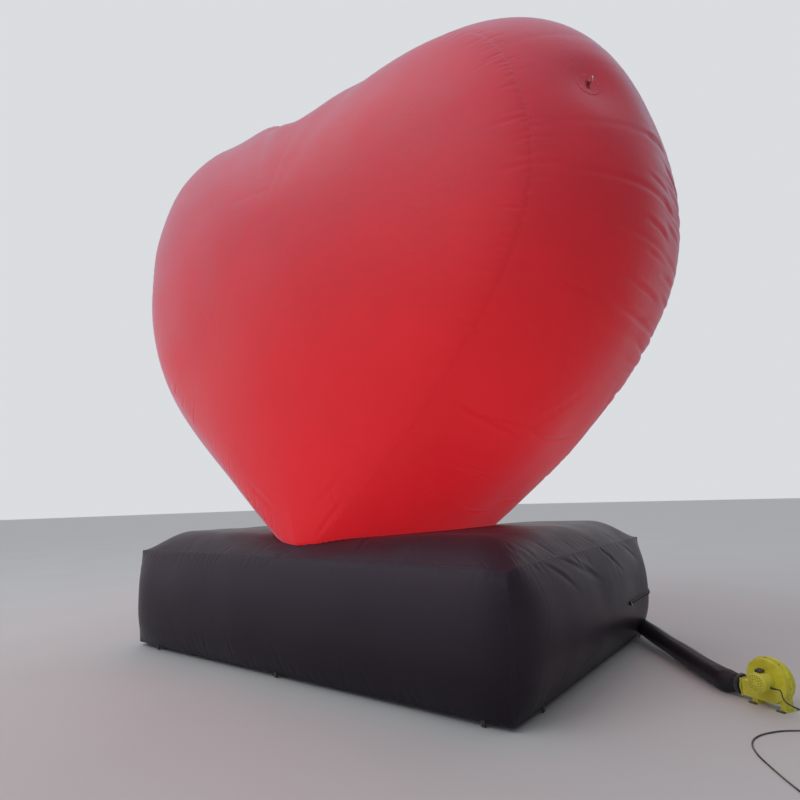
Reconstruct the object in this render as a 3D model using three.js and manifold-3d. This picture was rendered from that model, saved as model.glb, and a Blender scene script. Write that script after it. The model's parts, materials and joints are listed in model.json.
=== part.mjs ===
// Inflatable heart standing on an inflated plinth, fed by a floor blower.
// Millimetres, +Z up. The origin is the middle of the plinth's underside, on the ground.
// The heart faces -Y. Every inflated surface is a sewn panel of its own, a sheet SKIN thick.

import * as THREE from 'three';
import { mergeGeometries, mergeVertices } from 'three/addons/utils/BufferGeometryUtils.js';
import Module from 'manifold-3d';

const wasm = await Module();
wasm.setup();

// Driving dimensions
const SKIN = 10;            // thickness of an inflated sheet
const GAP = 0.3;            // clearance between pieces that touch
const HALF_GAP = GAP / 2;

const HEART = {
  x: 74, y: -75,            // where its foot stands
  pole: 4200,               // height of the point that the outline is measured round
  cleft: 5010,              // height of the notch between the lobes
  cleftRise: [171, 547],    // handle of the outline's first span, from the notch
  lobes: {                  // top of each lobe, and the handles on either side of it
    right: { x: 1813, z: 6160, inner: 1481, outer: 841 },
    left: { x: 1600, z: 6260, inner: 1452, outer: 555 },
  },
  side: { x: 3365, z: 4272, above: 1520, below: 1890 },    // widest point and its handles
  tip: 430,                 // where the flanks would meet, hidden below the plinth's top
  tipRise: [1666, 1160],
  depth: 1619,              // half the thickness, front to back
  lobeDepth: 1746,          // what the faces of the lobes swell towards
  bandHalf: 1317,           // half the distance between the two long seams, on the flanks
  lobeHalf: 1047,           // the same over the lobes
  lobeReach: [25, 80],      // degrees from the top over which the lobes' values fade
  seamShare: 0.788,         // outline radius at those seams, as a share of the full radius
  notchShare: 0.995,        // the same at the notch
  footShare: 0.855,         // the same at the foot
  notchReach: 38,           // degrees over which the notch's share fades to the flanks'
  footFrom: 110,            // degrees from which the foot's share grows
  faceRound: 1.5,           // superellipse powers of the domed faces
  faceFlat: 1.4,
  soften: 0.96,             // how far the notch fades out towards the middle of a face
  footZ: 1100,              // height from which it leans
  lean: -0.075,             // sideways lean for each unit of height
  leanBack: 0.023,
};

const PLINTH = {
  length: 4450,             // along X, between the sewn edges
  width: 3150,              // along Y
  top: 1000,                // height of the upper sewn edges
  bottom: 60,               // height of the lower sewn edges
  crown: 190,               // how far the top swells above its edges
  dip: 55,                  // how much less it swells under the heart
  dipX: 200,                // middle of the dip, and how far it reaches to each side
  dipReach: 1300,
  swell: 110,               // how far the walls swell outwards
  roll: 330,                // distance over which the top and the underside round off
  wallRoll: 520,            // the same for a wall's upright edges
};

const TUBE = {
  radius: 80, wall: 8,
  cuffLength: 136, cuffWall: 4, cuffSleeve: 44, overlap: 32,   // the cuff's sleeve lies over the spout
  strapFrom: 10, strapTo: 35, strapThick: 3,
  leaves: 130,                      // reach of the path's first handle
  end: { inside: 40, y: 1400, z: 200 },
  arrival: { outside: 330, y: 1010, z: 150 },
  steps: 10, sides: 8, plug: 420,   // plug is how deep the cutter reaches inside the wall
};

const BLOWER = {
  x: 3500, y: -210, yaw: -30,        // place on the ground and turn about Z, in degrees
  centreZ: 172, radius: 140, flange: 150, halfWidth: 48, wall: 4,
  ductEnd: 185, ductHeight: 104, ductMouth: 80,
  plate: 120, plateThick: 4, spoutRadius: 58, spoutWall: 4, spoutLength: 80,
  inletRadius: 62, inletDepth: 32,
  motorRadius: 64, motorLength: 100, shaftRadius: 5, shaftClearance: 5.5, bore: 42, shaftInBore: 40,
};
const PAST = 10;            // how far a cutter reaches past what it cuts
const ROUND = 48;           // sides of the large round shapes
const SMALL_ROUND = 24;

const LEAD = {
  radius: 4.5, coilRadius: 50, coilSides: 30, sides: 8, steps: 78,
  lift: 0.4,                // clearance above the ground
  straight: 30,             // how far it leaves straight out of its strain relief
  fall: { x: 65, y: -12, z: 90 },
  turnIn: 31.6,             // how far before the coil's outer turn the lead stops
  turnOut: 33.7,            // how far past it the plug starts
};
const LEAD_ROUTE = [        // points along the ground, with their height above the lie of the lead
  [3775, -405, 22], [3785, -490, 2], [3690, -590, 0], [3560, -690, 0], [3465, -830, 0],
  [3440, -960, 0], [3475, -1110, 0], [3570, -1290, 0], [3690, -1480, 0], [3790, -1600, 0],
];

// Finishes
const FINISH = {
  redCloth: { color: 0xb81f28, roughness: 0.62, metalness: 0 },
  blackCloth: { color: 0x2a2630, roughness: 0.6, metalness: 0 },
  blackWebbing: { color: 0x17161a, roughness: 0.85, metalness: 0 },
  redWebbing: { color: 0x9c1a22, roughness: 0.8, metalness: 0 },
  steel: { color: 0xb9bbbd, roughness: 0.35, metalness: 1 },
  limePlastic: { color: 0xb9b62f, roughness: 0.45, metalness: 0 },
  darkPlastic: { color: 0x1b1c1e, roughness: 0.5, metalness: 0 },
  blackRubber: { color: 0x121213, roughness: 0.7, metalness: 0 },
};

const object = new THREE.Group();

function addPiece(name, geometry, finish, parent = object) {
  const mesh = new THREE.Mesh(geometry, new THREE.MeshStandardMaterial(finish));
  mesh.name = name;
  parent.add(mesh);
  return mesh;
}

// Solids from grids of points

function cleaned(geometry) {
  const bare = new THREE.BufferGeometry();
  bare.setAttribute('position', geometry.getAttribute('position'));
  if (geometry.index) bare.setIndex(geometry.index);
  const merged = mergeVertices(bare, 1e-3);
  const kept = [];
  const index = merged.index.array;
  for (let i = 0; i < index.length; i += 3) {
    const [a, b, c] = [index[i], index[i + 1], index[i + 2]];
    if (a !== b && b !== c && c !== a) kept.push(a, b, c);
  }
  merged.setIndex(kept);
  return merged;
}

function signedVolume(geometry) {
  const p = geometry.getAttribute('position');
  const index = geometry.index.array;
  const [a, b, c] = [new THREE.Vector3(), new THREE.Vector3(), new THREE.Vector3()];
  let sum = 0;
  for (let i = 0; i < index.length; i += 3) {
    a.fromBufferAttribute(p, index[i]);
    b.fromBufferAttribute(p, index[i + 1]);
    c.fromBufferAttribute(p, index[i + 2]);
    sum += a.dot(b.cross(c)) / 6;
  }
  return sum;
}

// A sheet between two grids of points with the same rows and columns, closed round its edge.
function sheetBetween(outer, inner) {
  const rows = outer.length;
  const columns = outer[0].length;
  const position = [];
  for (const grid of [outer, inner]) {
    for (const row of grid) for (const point of row) position.push(point.x, point.y, point.z);
  }
  const at = (layer, i, j) => layer * rows * columns + i * columns + j;
  const index = [];
  const quad = (a, b, c, d) => index.push(a, b, c, a, c, d);
  for (let i = 0; i < rows - 1; i += 1) {
    for (let j = 0; j < columns - 1; j += 1) {
      quad(at(0, i, j), at(0, i + 1, j), at(0, i + 1, j + 1), at(0, i, j + 1));
      quad(at(1, i, j), at(1, i, j + 1), at(1, i + 1, j + 1), at(1, i + 1, j));
    }
  }
  for (let i = 0; i < rows - 1; i += 1) {
    quad(at(0, i, 0), at(1, i, 0), at(1, i + 1, 0), at(0, i + 1, 0));
    const j = columns - 1;
    quad(at(0, i, j), at(0, i + 1, j), at(1, i + 1, j), at(1, i, j));
  }
  for (let j = 0; j < columns - 1; j += 1) {
    quad(at(0, 0, j), at(0, 0, j + 1), at(1, 0, j + 1), at(1, 0, j));
    const i = rows - 1;
    quad(at(0, i, j), at(1, i, j), at(1, i, j + 1), at(0, i, j + 1));
  }
  const geometry = new THREE.BufferGeometry();
  geometry.setAttribute('position', new THREE.Float32BufferAttribute(position, 3));
  geometry.setIndex(index);
  const closed = cleaned(geometry);
  if (signedVolume(closed) < 0) {
    const turned = closed.index.array;
    for (let i = 0; i < turned.length; i += 3) {
      [turned[i + 1], turned[i + 2]] = [turned[i + 2], turned[i + 1]];
    }
  }
  return closed;
}

// Joining and cutting

function solid(geometry, matrix = null) {
  const copy = cleaned(geometry);
  if (matrix) copy.applyMatrix4(matrix);
  return new wasm.Manifold(new wasm.Mesh({
    numProp: 3,
    vertProperties: new Float32Array(copy.getAttribute('position').array),
    triVerts: new Uint32Array(copy.index.array),
  }));
}

function geometryOf(manifold) {
  const mesh = manifold.getMesh();
  const geometry = new THREE.BufferGeometry();
  geometry.setAttribute('position', new THREE.BufferAttribute(mesh.vertProperties, 3));
  geometry.setIndex(new THREE.BufferAttribute(mesh.triVerts, 1));
  return geometry;
}

function joined(...solids) {
  return solids.reduce((whole, next) => whole.add(next));
}

// The piece of a cut solid that lies furthest along a direction.
function outermost(cut, direction) {
  const reach = (piece) => {
    const box = piece.boundingBox();
    return [0, 1, 2].reduce((sum, k) => sum
      + direction.getComponent(k) * (box.min[k] + box.max[k]), 0);
  };
  return cut.decompose().sort((a, b) => reach(b) - reach(a))[0];
}

function largest(cut) {
  return cut.decompose().sort((a, b) => b.volume() - a.volume())[0];
}

function moved(x, y, z) {
  return new THREE.Matrix4().makeTranslation(x, y, z);
}

function boxSolid([x0, x1], [y0, y1], [z0, z1]) {
  const box = new THREE.BoxGeometry(x1 - x0, y1 - y0, z1 - z0);
  return solid(box, moved((x0 + x1) / 2, (y0 + y1) / 2, (z0 + z1) / 2));
}

// A turned shape from radii and heights.
function turned(profile, sides) {
  return new THREE.LatheGeometry(profile.map(([r, h]) => new THREE.Vector2(r, h)), sides);
}

// A round bar along Y from y0 to y1.
function roundSolid(radius, y0, y1, x = 0, z = 0, sides = 32) {
  const bar = new THREE.CylinderGeometry(radius, radius, y1 - y0, sides);
  return solid(bar, moved(x, (y0 + y1) / 2, z));
}

// The heart's surface: an outline of three Bezier spans a side, swept through a profile from the
// front pole to the back pole

const OUTLINE_SAMPLES = 60;

// Angle from straight up and radius round the pole, at points from the notch to the tip.
function rimOf(lobe) {
  const { cleft, cleftRise, side, tip, tipRise, pole } = HEART;
  const spans = [
    [[0, cleft], [cleftRise[0], cleft + cleftRise[1]], [lobe.x - lobe.inner, lobe.z], [lobe.x, lobe.z]],
    [[lobe.x, lobe.z], [lobe.x + lobe.outer, lobe.z], [side.x, side.z + side.above], [side.x, side.z]],
    [[side.x, side.z], [side.x, side.z - side.below], [tipRise[0], tip + tipRise[1]], [0, tip]],
  ];
  return spans.flatMap((span) => {
    const curve = new THREE.CubicBezierCurve(...span.map(([x, z]) => new THREE.Vector2(x, z - pole)));
    return curve.getPoints(OUTLINE_SAMPLES);
  }).map((point) => ({ angle: Math.atan2(point.x, point.y), radius: point.length() }));
}

const rims = { right: rimOf(HEART.lobes.right), left: rimOf(HEART.lobes.left) };

function turnFromTop(degrees) {
  return ((((degrees + 180) % 360) + 360) % 360) - 180;
}

// Radius of the outline at an angle in degrees from straight up, positive to the right.
function rimRadius(degrees) {
  const turn = THREE.MathUtils.degToRad(turnFromTop(degrees));
  const rim = turn < 0 ? rims.left : rims.right;
  const size = Math.abs(turn);
  let k = 1;
  while (k < rim.length - 1 && rim[k].angle < size) k += 1;
  const [a, b] = [rim[k - 1], rim[k]];
  const span = b.angle - a.angle;
  const share = span > 1e-9 ? THREE.MathUtils.clamp((size - a.angle) / span, 0, 1) : 0;
  return a.radius + (b.radius - a.radius) * share;
}

const SOFT_WINDOW = [-50, -35, -20, 0, 20, 35, 50];

function softRadius(degrees) {
  return SOFT_WINDOW.reduce((sum, turn) => sum + rimRadius(degrees + turn), 0) / SOFT_WINDOW.length;
}

const SEAM = 0.3;           // profile value at the long seams; -1 is the front pole, 1 the back pole

// Radius at the long seams, as a share of the outline's.
function seamShare(turn) {
  const notch = 1 - THREE.MathUtils.smoothstep(turn, 0, HEART.notchReach);
  const foot = THREE.MathUtils.smoothstep(turn, HEART.footFrom, 180);
  return HEART.seamShare + (HEART.notchShare - HEART.seamShare) * notch
    + (HEART.footShare - HEART.seamShare) * foot;
}

// Distance from the middle plane, radius as a share of the outline's, and that share measured
// from the seam, at a profile value.
function profile(degrees, t) {
  const size = Math.min(Math.abs(t), 1);
  const turn = Math.abs(turnFromTop(degrees));
  const lobe = 1 - THREE.MathUtils.smoothstep(turn, ...HEART.lobeReach);
  const half = HEART.bandHalf + (HEART.lobeHalf - HEART.bandHalf) * lobe;
  const seam = seamShare(turn);
  if (size <= SEAM) {
    const share = size / SEAM;
    return { y: half * share, share: 1 - (1 - seam) * share * share, inward: 1 };
  }
  const a = ((size - SEAM) / (1 - SEAM)) * (Math.PI / 2);
  const inward = Math.max(Math.cos(a), 0) ** (2 / HEART.faceRound);
  const depth = HEART.depth + (HEART.lobeDepth - HEART.depth) * lobe * inward;
  const y = half + (depth - half) * Math.sin(a) ** (2 / HEART.faceFlat);
  return { y, share: seam * inward, inward };
}

function heartPoint(degrees, t) {
  const { y, share, inward } = profile(degrees, t);
  const sharp = 1 - HEART.soften * (1 - THREE.MathUtils.smoothstep(inward, 0, 1));
  const radius = share * (rimRadius(degrees) * sharp + softRadius(degrees) * (1 - sharp));
  const turn = THREE.MathUtils.degToRad(degrees);
  const z = HEART.pole + Math.cos(turn) * radius;
  return new THREE.Vector3(
    Math.sin(turn) * radius + HEART.lean * (z - HEART.footZ) + HEART.x,
    Math.sign(t) * y + HEART.leanBack * (z - HEART.footZ) + HEART.y,
    z,
  );
}

function heartNormal(degrees, t) {
  if (Math.abs(t) > 0.985) return new THREE.Vector3(0, Math.sign(t), 0);
  const round = heartPoint(degrees + 2, t).sub(heartPoint(degrees - 2, t));
  const along = heartPoint(degrees, t + 0.01).sub(heartPoint(degrees, t - 0.01));
  return round.cross(along).normalize();
}

function heartPanel(angles, profileValues, shift) {
  const outer = [];
  const inner = [];
  for (const degrees of angles) {
    const outerRow = [];
    const innerRow = [];
    for (const t of profileValues) {
      const point = heartPoint(degrees, t);
      point.x += shift;
      outerRow.push(point);
      innerRow.push(point.clone().addScaledVector(heartNormal(degrees, t), -SKIN));
    }
    outer.push(outerRow);
    inner.push(innerRow);
  }
  return sheetBetween(outer, inner);
}

function steps(from, to, count) {
  return Array.from({ length: count + 1 }, (_, i) => from + ((to - from) * i) / count);
}

// The plinth: six panels that meet in mitres along its twelve sewn edges

const HALF_X = PLINTH.length / 2;
const HALF_Y = PLINTH.width / 2;

function easeIn(distance, roll) {
  return Math.sin(Math.min(Math.max(distance, 0) / roll, 1) * (Math.PI / 2));
}

const MIDDLE_STEPS = 4;

function stations(half, roll) {
  const near = [0, 0.2, 0.5, 1].map((share) => half - share * roll);
  const middle = steps(half - roll, 0, MIDDLE_STEPS).slice(1);
  const positive = [...near, ...middle];
  const negative = positive.slice(0, -1).map((value) => -value);
  return [...negative, ...positive.reverse()];
}

// How far the top swells at a distance along X, less under the heart.
function crownAt(x) {
  const away = Math.min(Math.abs(x - PLINTH.dipX) / PLINTH.dipReach, 1);
  return PLINTH.crown - PLINTH.dip * (0.5 + 0.5 * Math.cos(Math.PI * away));
}

const WALL_LEVELS = [0, 0.12, 0.3, 0.5, 0.7, 0.88, 1];

// A point of the plinth's skin on one of its faces: a and b run over the face, and depth is how far
// in from the outside it lies. The edge of each sheet stops HALF_GAP short of the mitre.
function plinthPoint(face, a, b, depth) {
  const inset = (value, half) => value * ((half - depth - HALF_GAP - 0.05) / half);
  if (face === 'top' || face === 'bottom') {
    const rise = easeIn(HALF_X - Math.abs(a), PLINTH.roll) * easeIn(HALF_Y - Math.abs(b), PLINTH.roll);
    const z = face === 'top'
      ? PLINTH.top + crownAt(a) * rise - depth
      : PLINTH.bottom * (1 - rise) + depth;
    return new THREE.Vector3(inset(a, HALF_X), inset(b, HALF_Y), z);
  }
  const low = PLINTH.bottom + depth + HALF_GAP + 0.05;
  const high = PLINTH.top - depth - HALF_GAP - 0.05;
  const z = low + (high - low) * b;
  const along = face === 'front' || face === 'back';
  const half = along ? HALF_X : HALF_Y;
  const out = PLINTH.swell * Math.sin(Math.PI * b) * easeIn(half - Math.abs(a), PLINTH.wallRoll);
  const sign = face === 'front' || face === 'left' ? -1 : 1;
  const across = sign * ((along ? HALF_Y : HALF_X) + out - depth);
  return along
    ? new THREE.Vector3(inset(a, half), across, z)
    : new THREE.Vector3(across, inset(a, half), z);
}

function plinthGrid(face, depth) {
  const lying = face === 'top' || face === 'bottom';
  const along = lying || face === 'front' || face === 'back';
  const roll = lying ? PLINTH.roll : PLINTH.wallRoll;
  const first = stations(along ? HALF_X : HALF_Y, roll);
  const second = lying ? stations(HALF_Y, roll) : WALL_LEVELS;
  return first.map((a) => second.map((b) => plinthPoint(face, a, b, depth)));
}

function plinthPanel(face, depth = SKIN) {
  return sheetBetween(plinthGrid(face, 0), plinthGrid(face, depth));
}

// What lies below the plinth's top is cut off, where the heart is sewn down to it.
const seat = plinthGrid('top', 0);
const underSeat = seat.map((row) => row.map((point) => new THREE.Vector3(point.x, point.y, -PLINTH.top)));
const belowSeat = solid(sheetBetween(seat, underSeat), moved(0, 0, GAP));

function seated(geometry) {
  return geometryOf(solid(geometry).subtract(belowSeat));
}

// The heart: two domed faces and a band round its edge, each side in panels of its own

const SEAM_GAP = 0.00004;   // half the gap at a long seam, in profile value
const SPLIT_GAP = 0.0025;   // half the gap at the widest point, in degrees
const SPLIT = 90;           // where the band's upper and lower panels meet
const FACE_ROWS = 7;
const BAND_ROWS = 6;
const FACE_STEP = 32;       // columns in half a face
const sides = [
  { name: 'right', sign: 1 },
  { name: 'left', sign: -1 },
];
const faces = [
  { name: 'front', sign: -1 },
  { name: 'back', sign: 1 },
];

const bands = {};
for (const side of sides) {
  for (const face of faces) {
    const angles = steps(0, 180 * side.sign, FACE_STEP);
    const values = steps(face.sign * (SEAM + SEAM_GAP), face.sign, FACE_ROWS);
    const panel = heartPanel(angles, values, side.sign * HALF_GAP);
    addPiece(`heart_${face.name}_${side.name}`, seated(panel), FINISH.redCloth);
  }
  const parts = [
    { name: 'upper', from: 0, to: SPLIT - SPLIT_GAP },
    { name: 'lower', from: SPLIT + SPLIT_GAP, to: 180 },
  ];
  for (const part of parts) {
    const angles = steps(part.from * side.sign, part.to * side.sign, FACE_STEP / 2);
    const values = steps(-SEAM + SEAM_GAP, SEAM - SEAM_GAP, BAND_ROWS);
    const name = `heart_band_${part.name}_${side.name}`;
    bands[name] = heartPanel(angles, values, side.sign * HALF_GAP);
    addPiece(name, seated(bands[name]), FINISH.redCloth);
  }
}

// Layers that lie on a panel

// A sheet of the given thickness on the outside of a panel, within a cutter.
function layerOn(panel, direction, thickness, cutter) {
  const lift = (distance) => panel.translate(
    direction.x * distance, direction.y * distance, direction.z * distance,
  );
  return lift(GAP + thickness).subtract(lift(GAP)).intersect(cutter);
}

// Tether points: a round patch, a webbing loop and a steel ring, two on each flank of the heart

const TETHER = {
  angle: 80, t: 0.2,                 // place on the band
  patchRadius: 110, patchThick: 5,
  strapWidth: 32, strapThick: 5, strapHeight: 46,
  eyeRadius: 4.4, eyeDrop: 12,       // hole in the strap, and how far below its end
  ringRadius: 24, ringWire: 3.5,
  sunk: 60,                          // how far the blanks reach below the skin before they are cut
};
const EYE_HEIGHT = TETHER.strapHeight - TETHER.eyeDrop;

const PATCH_SIDES = 24;
const EYE_SIDES = 16;
const WIRE_SIDES = 6;
const RING_STEPS = 14;

// The frame whose Z axis is a direction and whose X axis is square to that and to a second one.
function turnedTo(direction, up) {
  const z = direction.clone().normalize();
  const x = up.clone().cross(z).normalize();
  const y = z.clone().cross(x);
  return new THREE.Matrix4().makeBasis(x, y, z);
}

for (const side of sides) {
  for (const face of faces) {
    const label = `${face.name}_${side.name}`;
    const degrees = TETHER.angle * side.sign;
    const t = TETHER.t * face.sign;
    const panel = solid(bands[`heart_band_upper_${side.name}`]);
    const place = heartPoint(degrees, t);
    const normal = heartNormal(degrees, t);
    const frame = turnedTo(normal, new THREE.Vector3(0, 1, 0)).setPosition(place);
    const stand = new THREE.Matrix4().makeRotationX(Math.PI / 2);
    const disc = new THREE.CylinderGeometry(
      TETHER.patchRadius, TETHER.patchRadius, 2 * TETHER.sunk, PATCH_SIDES,
    );
    const around = solid(disc.applyMatrix4(stand).applyMatrix4(frame));
    const patch = layerOn(panel, normal, TETHER.patchThick, around);
    addPiece(`tether_patch_${label}`, geometryOf(patch), FINISH.redCloth);

    const strap = new THREE.BoxGeometry(
      TETHER.strapWidth, TETHER.strapThick, TETHER.strapHeight + TETHER.sunk,
    );
    strap.translate(0, 0, (TETHER.strapHeight - TETHER.sunk) / 2);
    const eye = new THREE.CylinderGeometry(
      TETHER.eyeRadius, TETHER.eyeRadius, TETHER.strapWidth, EYE_SIDES,
    );
    eye.translate(0, 0, EYE_HEIGHT);
    const below = joined(
      patch.translate(normal.x * GAP, normal.y * GAP, normal.z * GAP),
      panel.translate(normal.clone().multiplyScalar(TETHER.patchThick).toArray()).intersect(around),
    );
    const blank = solid(strap, frame).subtract(solid(eye, frame)).subtract(below);
    const loop = outermost(blank, normal);
    addPiece(`tether_strap_${label}`, geometryOf(loop), FINISH.redWebbing);

    const ring = new THREE.TorusGeometry(TETHER.ringRadius, TETHER.ringWire, WIRE_SIDES, RING_STEPS);
    ring.rotateY(Math.PI / 2);
    ring.translate(0, 0, EYE_HEIGHT + TETHER.ringRadius);
    addPiece(`tether_ring_${label}`, cleaned(ring.applyMatrix4(frame)), FINISH.steel);
  }
}

// The plinth's panels

for (const face of ['front', 'back', 'left', 'right', 'top', 'bottom']) {
  addPiece(`plinth_${face}`, plinthPanel(face), FINISH.blackCloth);
}

// Ground loops: folded webbing hanging from the lower sewn edges, open from side to side

const TAB = { width: 32, thick: 3, depth: 17, height: PLINTH.bottom - GAP - 3, sewn: 12 };
const tabRows = [
  { edge: 'front', turn: 0, out: HALF_Y, half: HALF_X, shares: [-0.82, 0, 0.9] },
  { edge: 'back', turn: 180, out: HALF_Y, half: HALF_X, shares: [0.82, 0, -0.9] },
  { edge: 'right', turn: 90, out: HALF_X, half: HALF_Y, shares: [-0.72, 0.86] },
  { edge: 'left', turn: -90, out: HALF_X, half: HALF_Y, shares: [0.72, -0.86] },
];

// An upright slot shape with round ends, from a low to a high level.
function slotOutline(Kind, width, low, high) {
  const radius = width / 2;
  return new Kind().absarc(0, high - radius, radius, 0, Math.PI)
    .absarc(0, low + radius, radius, Math.PI, 2 * Math.PI).closePath();
}

const loopSection = slotOutline(THREE.Shape, TAB.depth, 0, TAB.height);
loopSection.holes.push(slotOutline(
  THREE.Path, TAB.depth - 2 * TAB.thick, TAB.thick, TAB.height - TAB.sewn,
));
const loopBlank = new THREE.ExtrudeGeometry(loopSection, {
  depth: TAB.width, bevelEnabled: false, curveSegments: 4,
});
loopBlank.translate(0, 0, -TAB.width / 2).rotateX(Math.PI / 2).rotateZ(Math.PI / 2);

for (const row of tabRows) {
  row.shares.forEach((share, i) => {
    const stand = new THREE.Group();
    stand.rotation.z = THREE.MathUtils.degToRad(row.turn);
    object.add(stand);
    const name = `ground_loop_${row.edge}_${i + 1}`;
    const loop = addPiece(name, cleaned(loopBlank), FINISH.blackWebbing, stand);
    loop.position.set(share * row.half, -row.out, PLINTH.bottom - GAP - TAB.height);
  });
}

// Deflation zip on the right wall: a tape, and a pull tab that lies on its near end

const ZIP = { y: [620, 1500], z: [440, 474], thick: 3, pullY: [626, 672], pullZ: [448, 466] };
const rightWall = solid(plinthPanel('right'));
const outwards = new THREE.Vector3(1, 0, 0);
const acrossWall = [HALF_X - 200, HALF_X + 400];
const zipTape = layerOn(rightWall, outwards, ZIP.thick, boxSolid(acrossWall, ZIP.y, ZIP.z));
addPiece('zip_tape', geometryOf(zipTape), FINISH.blackWebbing);
const zipPull = layerOn(zipTape, outwards, ZIP.thick, boxSolid(acrossWall, ZIP.pullY, ZIP.pullZ));
addPiece('zip_pull', geometryOf(zipPull), FINISH.steel);

// Blower, built about its own upright line: the motor points along -Y and the outlet along -X

const blower = new THREE.Group();
blower.position.set(BLOWER.x, BLOWER.y, 0);
blower.rotation.z = THREE.MathUtils.degToRad(BLOWER.yaw);
object.add(blower);

const DUCT_LOW = BLOWER.centreZ - BLOWER.radius;
const DUCT_MID = DUCT_LOW + BLOWER.ductHeight / 2;

// The drum and its outlet duct between two planes, grown outwards by a margin.
function drum(y0, y1, grow) {
  const round = roundSolid(BLOWER.radius + grow, y0, y1, 0, BLOWER.centreZ, ROUND);
  const duct = boxSolid(
    [-BLOWER.ductEnd, 0], [y0, y1], [DUCT_LOW - grow, DUCT_LOW + BLOWER.ductHeight + grow],
  );
  return joined(round, duct);
}

const { halfWidth, wall, centreZ } = BLOWER;
const mouth = boxSolid(
  [-BLOWER.ductEnd - PAST, -BLOWER.ductMouth], [-halfWidth + wall, halfWidth - wall],
  [DUCT_LOW + wall, DUCT_LOW + BLOWER.ductHeight - wall],
);
const inside = drum(-halfWidth + wall, halfWidth - wall, -wall).add(mouth);
const shaftHole = BLOWER.shaftRadius + BLOWER.shaftClearance;
const motorHalf = drum(-halfWidth, -HALF_GAP, 0)
  .add(roundSolid(BLOWER.flange, -wall, -HALF_GAP, 0, centreZ, ROUND))
  .subtract(inside)
  .subtract(roundSolid(shaftHole, -halfWidth - PAST, 0, 0, centreZ));
const inletHalf = drum(HALF_GAP, halfWidth, 0)
  .add(roundSolid(BLOWER.flange, HALF_GAP, wall, 0, centreZ, ROUND))
  .subtract(inside)
  .subtract(roundSolid(BLOWER.inletRadius, halfWidth - BLOWER.inletDepth, halfWidth + PAST, 0, centreZ));
addPiece('blower_scroll_motor_side', geometryOf(motorHalf), FINISH.limePlastic, blower);
addPiece('blower_scroll_inlet_side', geometryOf(inletHalf), FINISH.limePlastic, blower);

// Spout: a square plate on the duct's mouth, with a round pipe
const halfPlate = BLOWER.plate / 2;
const plateFace = -BLOWER.ductEnd - GAP;
const spoutPlate = boxSolid(
  [plateFace - BLOWER.plateThick, plateFace], [-halfPlate, halfPlate],
  [DUCT_MID - halfPlate, DUCT_MID + halfPlate],
);
function spoutBar(radius, x0, x1) {
  const bar = new THREE.CylinderGeometry(radius, radius, x1 - x0, SMALL_ROUND);
  bar.rotateZ(Math.PI / 2);
  return solid(bar, moved((x0 + x1) / 2, 0, DUCT_MID));
}
const SPOUT_END = -BLOWER.ductEnd - BLOWER.spoutLength;
const pipeInner = BLOWER.spoutRadius - BLOWER.spoutWall;
const spout = joined(spoutPlate, spoutBar(BLOWER.spoutRadius, SPOUT_END, plateFace))
  .subtract(spoutBar(pipeInner, SPOUT_END - PAST, -BLOWER.ductEnd + PAST));
addPiece('blower_spout', geometryOf(spout), FINISH.limePlastic, blower);

// Motor housing: a ribbed drum with a rounded nose and a blind bearing bore
const RIB = { count: 4, first: 10, last: 14, depth: 5, slope: 2.5, nose: 11, noseInset: 10 };
const motorFront = -halfWidth - GAP;
const { motorRadius, motorLength } = BLOWER;
const ribPitch = (motorLength - RIB.first - RIB.last) / RIB.count;
const motorProfile = [[0, 0], [motorRadius, 0]];
for (let i = 0; i < RIB.count; i += 1) {
  const start = RIB.first + i * ribPitch;
  const end = start + ribPitch / 2;
  motorProfile.push([motorRadius, start], [motorRadius - RIB.depth, start + RIB.slope]);
  motorProfile.push([motorRadius - RIB.depth, end], [motorRadius, end + RIB.slope]);
}
motorProfile.push([motorRadius, motorLength - RIB.nose]);
motorProfile.push([motorRadius - RIB.noseInset, motorLength], [0, motorLength]);
const motorBody = turned(motorProfile, SMALL_ROUND).rotateX(Math.PI);
const bearing = roundSolid(
  BLOWER.shaftRadius + GAP, motorFront - BLOWER.bore, motorFront + PAST, 0, centreZ, SMALL_ROUND,
);
const motor = solid(motorBody, moved(0, motorFront, centreZ)).subtract(bearing);
addPiece('blower_motor_housing', geometryOf(motor), FINISH.limePlastic, blower);

// Inlet grille: three rings on six spokes
const GRILLE = {
  y: halfWidth + GAP, thick: 4, rings: [[67, 74], [43, 48], [19, 24]],
  spokes: 6, spokeFrom: 21, spokeTo: 70, spokeWidth: 4, sides: 36,
};
function flatRing(inner, outer, y0, y1) {
  return roundSolid(outer, y0, y1, 0, centreZ, GRILLE.sides)
    .subtract(roundSolid(inner, y0 - PAST, y1 + PAST, 0, centreZ, GRILLE.sides));
}
let grille = joined(...GRILLE.rings.map(([a, b]) => flatRing(a, b, GRILLE.y, GRILLE.y + GRILLE.thick)));
for (let i = 0; i < GRILLE.spokes; i += 1) {
  const spoke = new THREE.BoxGeometry(
    GRILLE.spokeTo - GRILLE.spokeFrom, GRILLE.thick, GRILLE.spokeWidth,
  );
  spoke.translate((GRILLE.spokeFrom + GRILLE.spokeTo) / 2, 0, 0);
  spoke.rotateY((i * 2 * Math.PI) / GRILLE.spokes);
  grille = grille.add(solid(spoke, moved(0, GRILLE.y + GRILLE.thick / 2, centreZ)));
}
addPiece('blower_inlet_grille', geometryOf(grille), FINISH.darkPlastic, blower);

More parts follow.
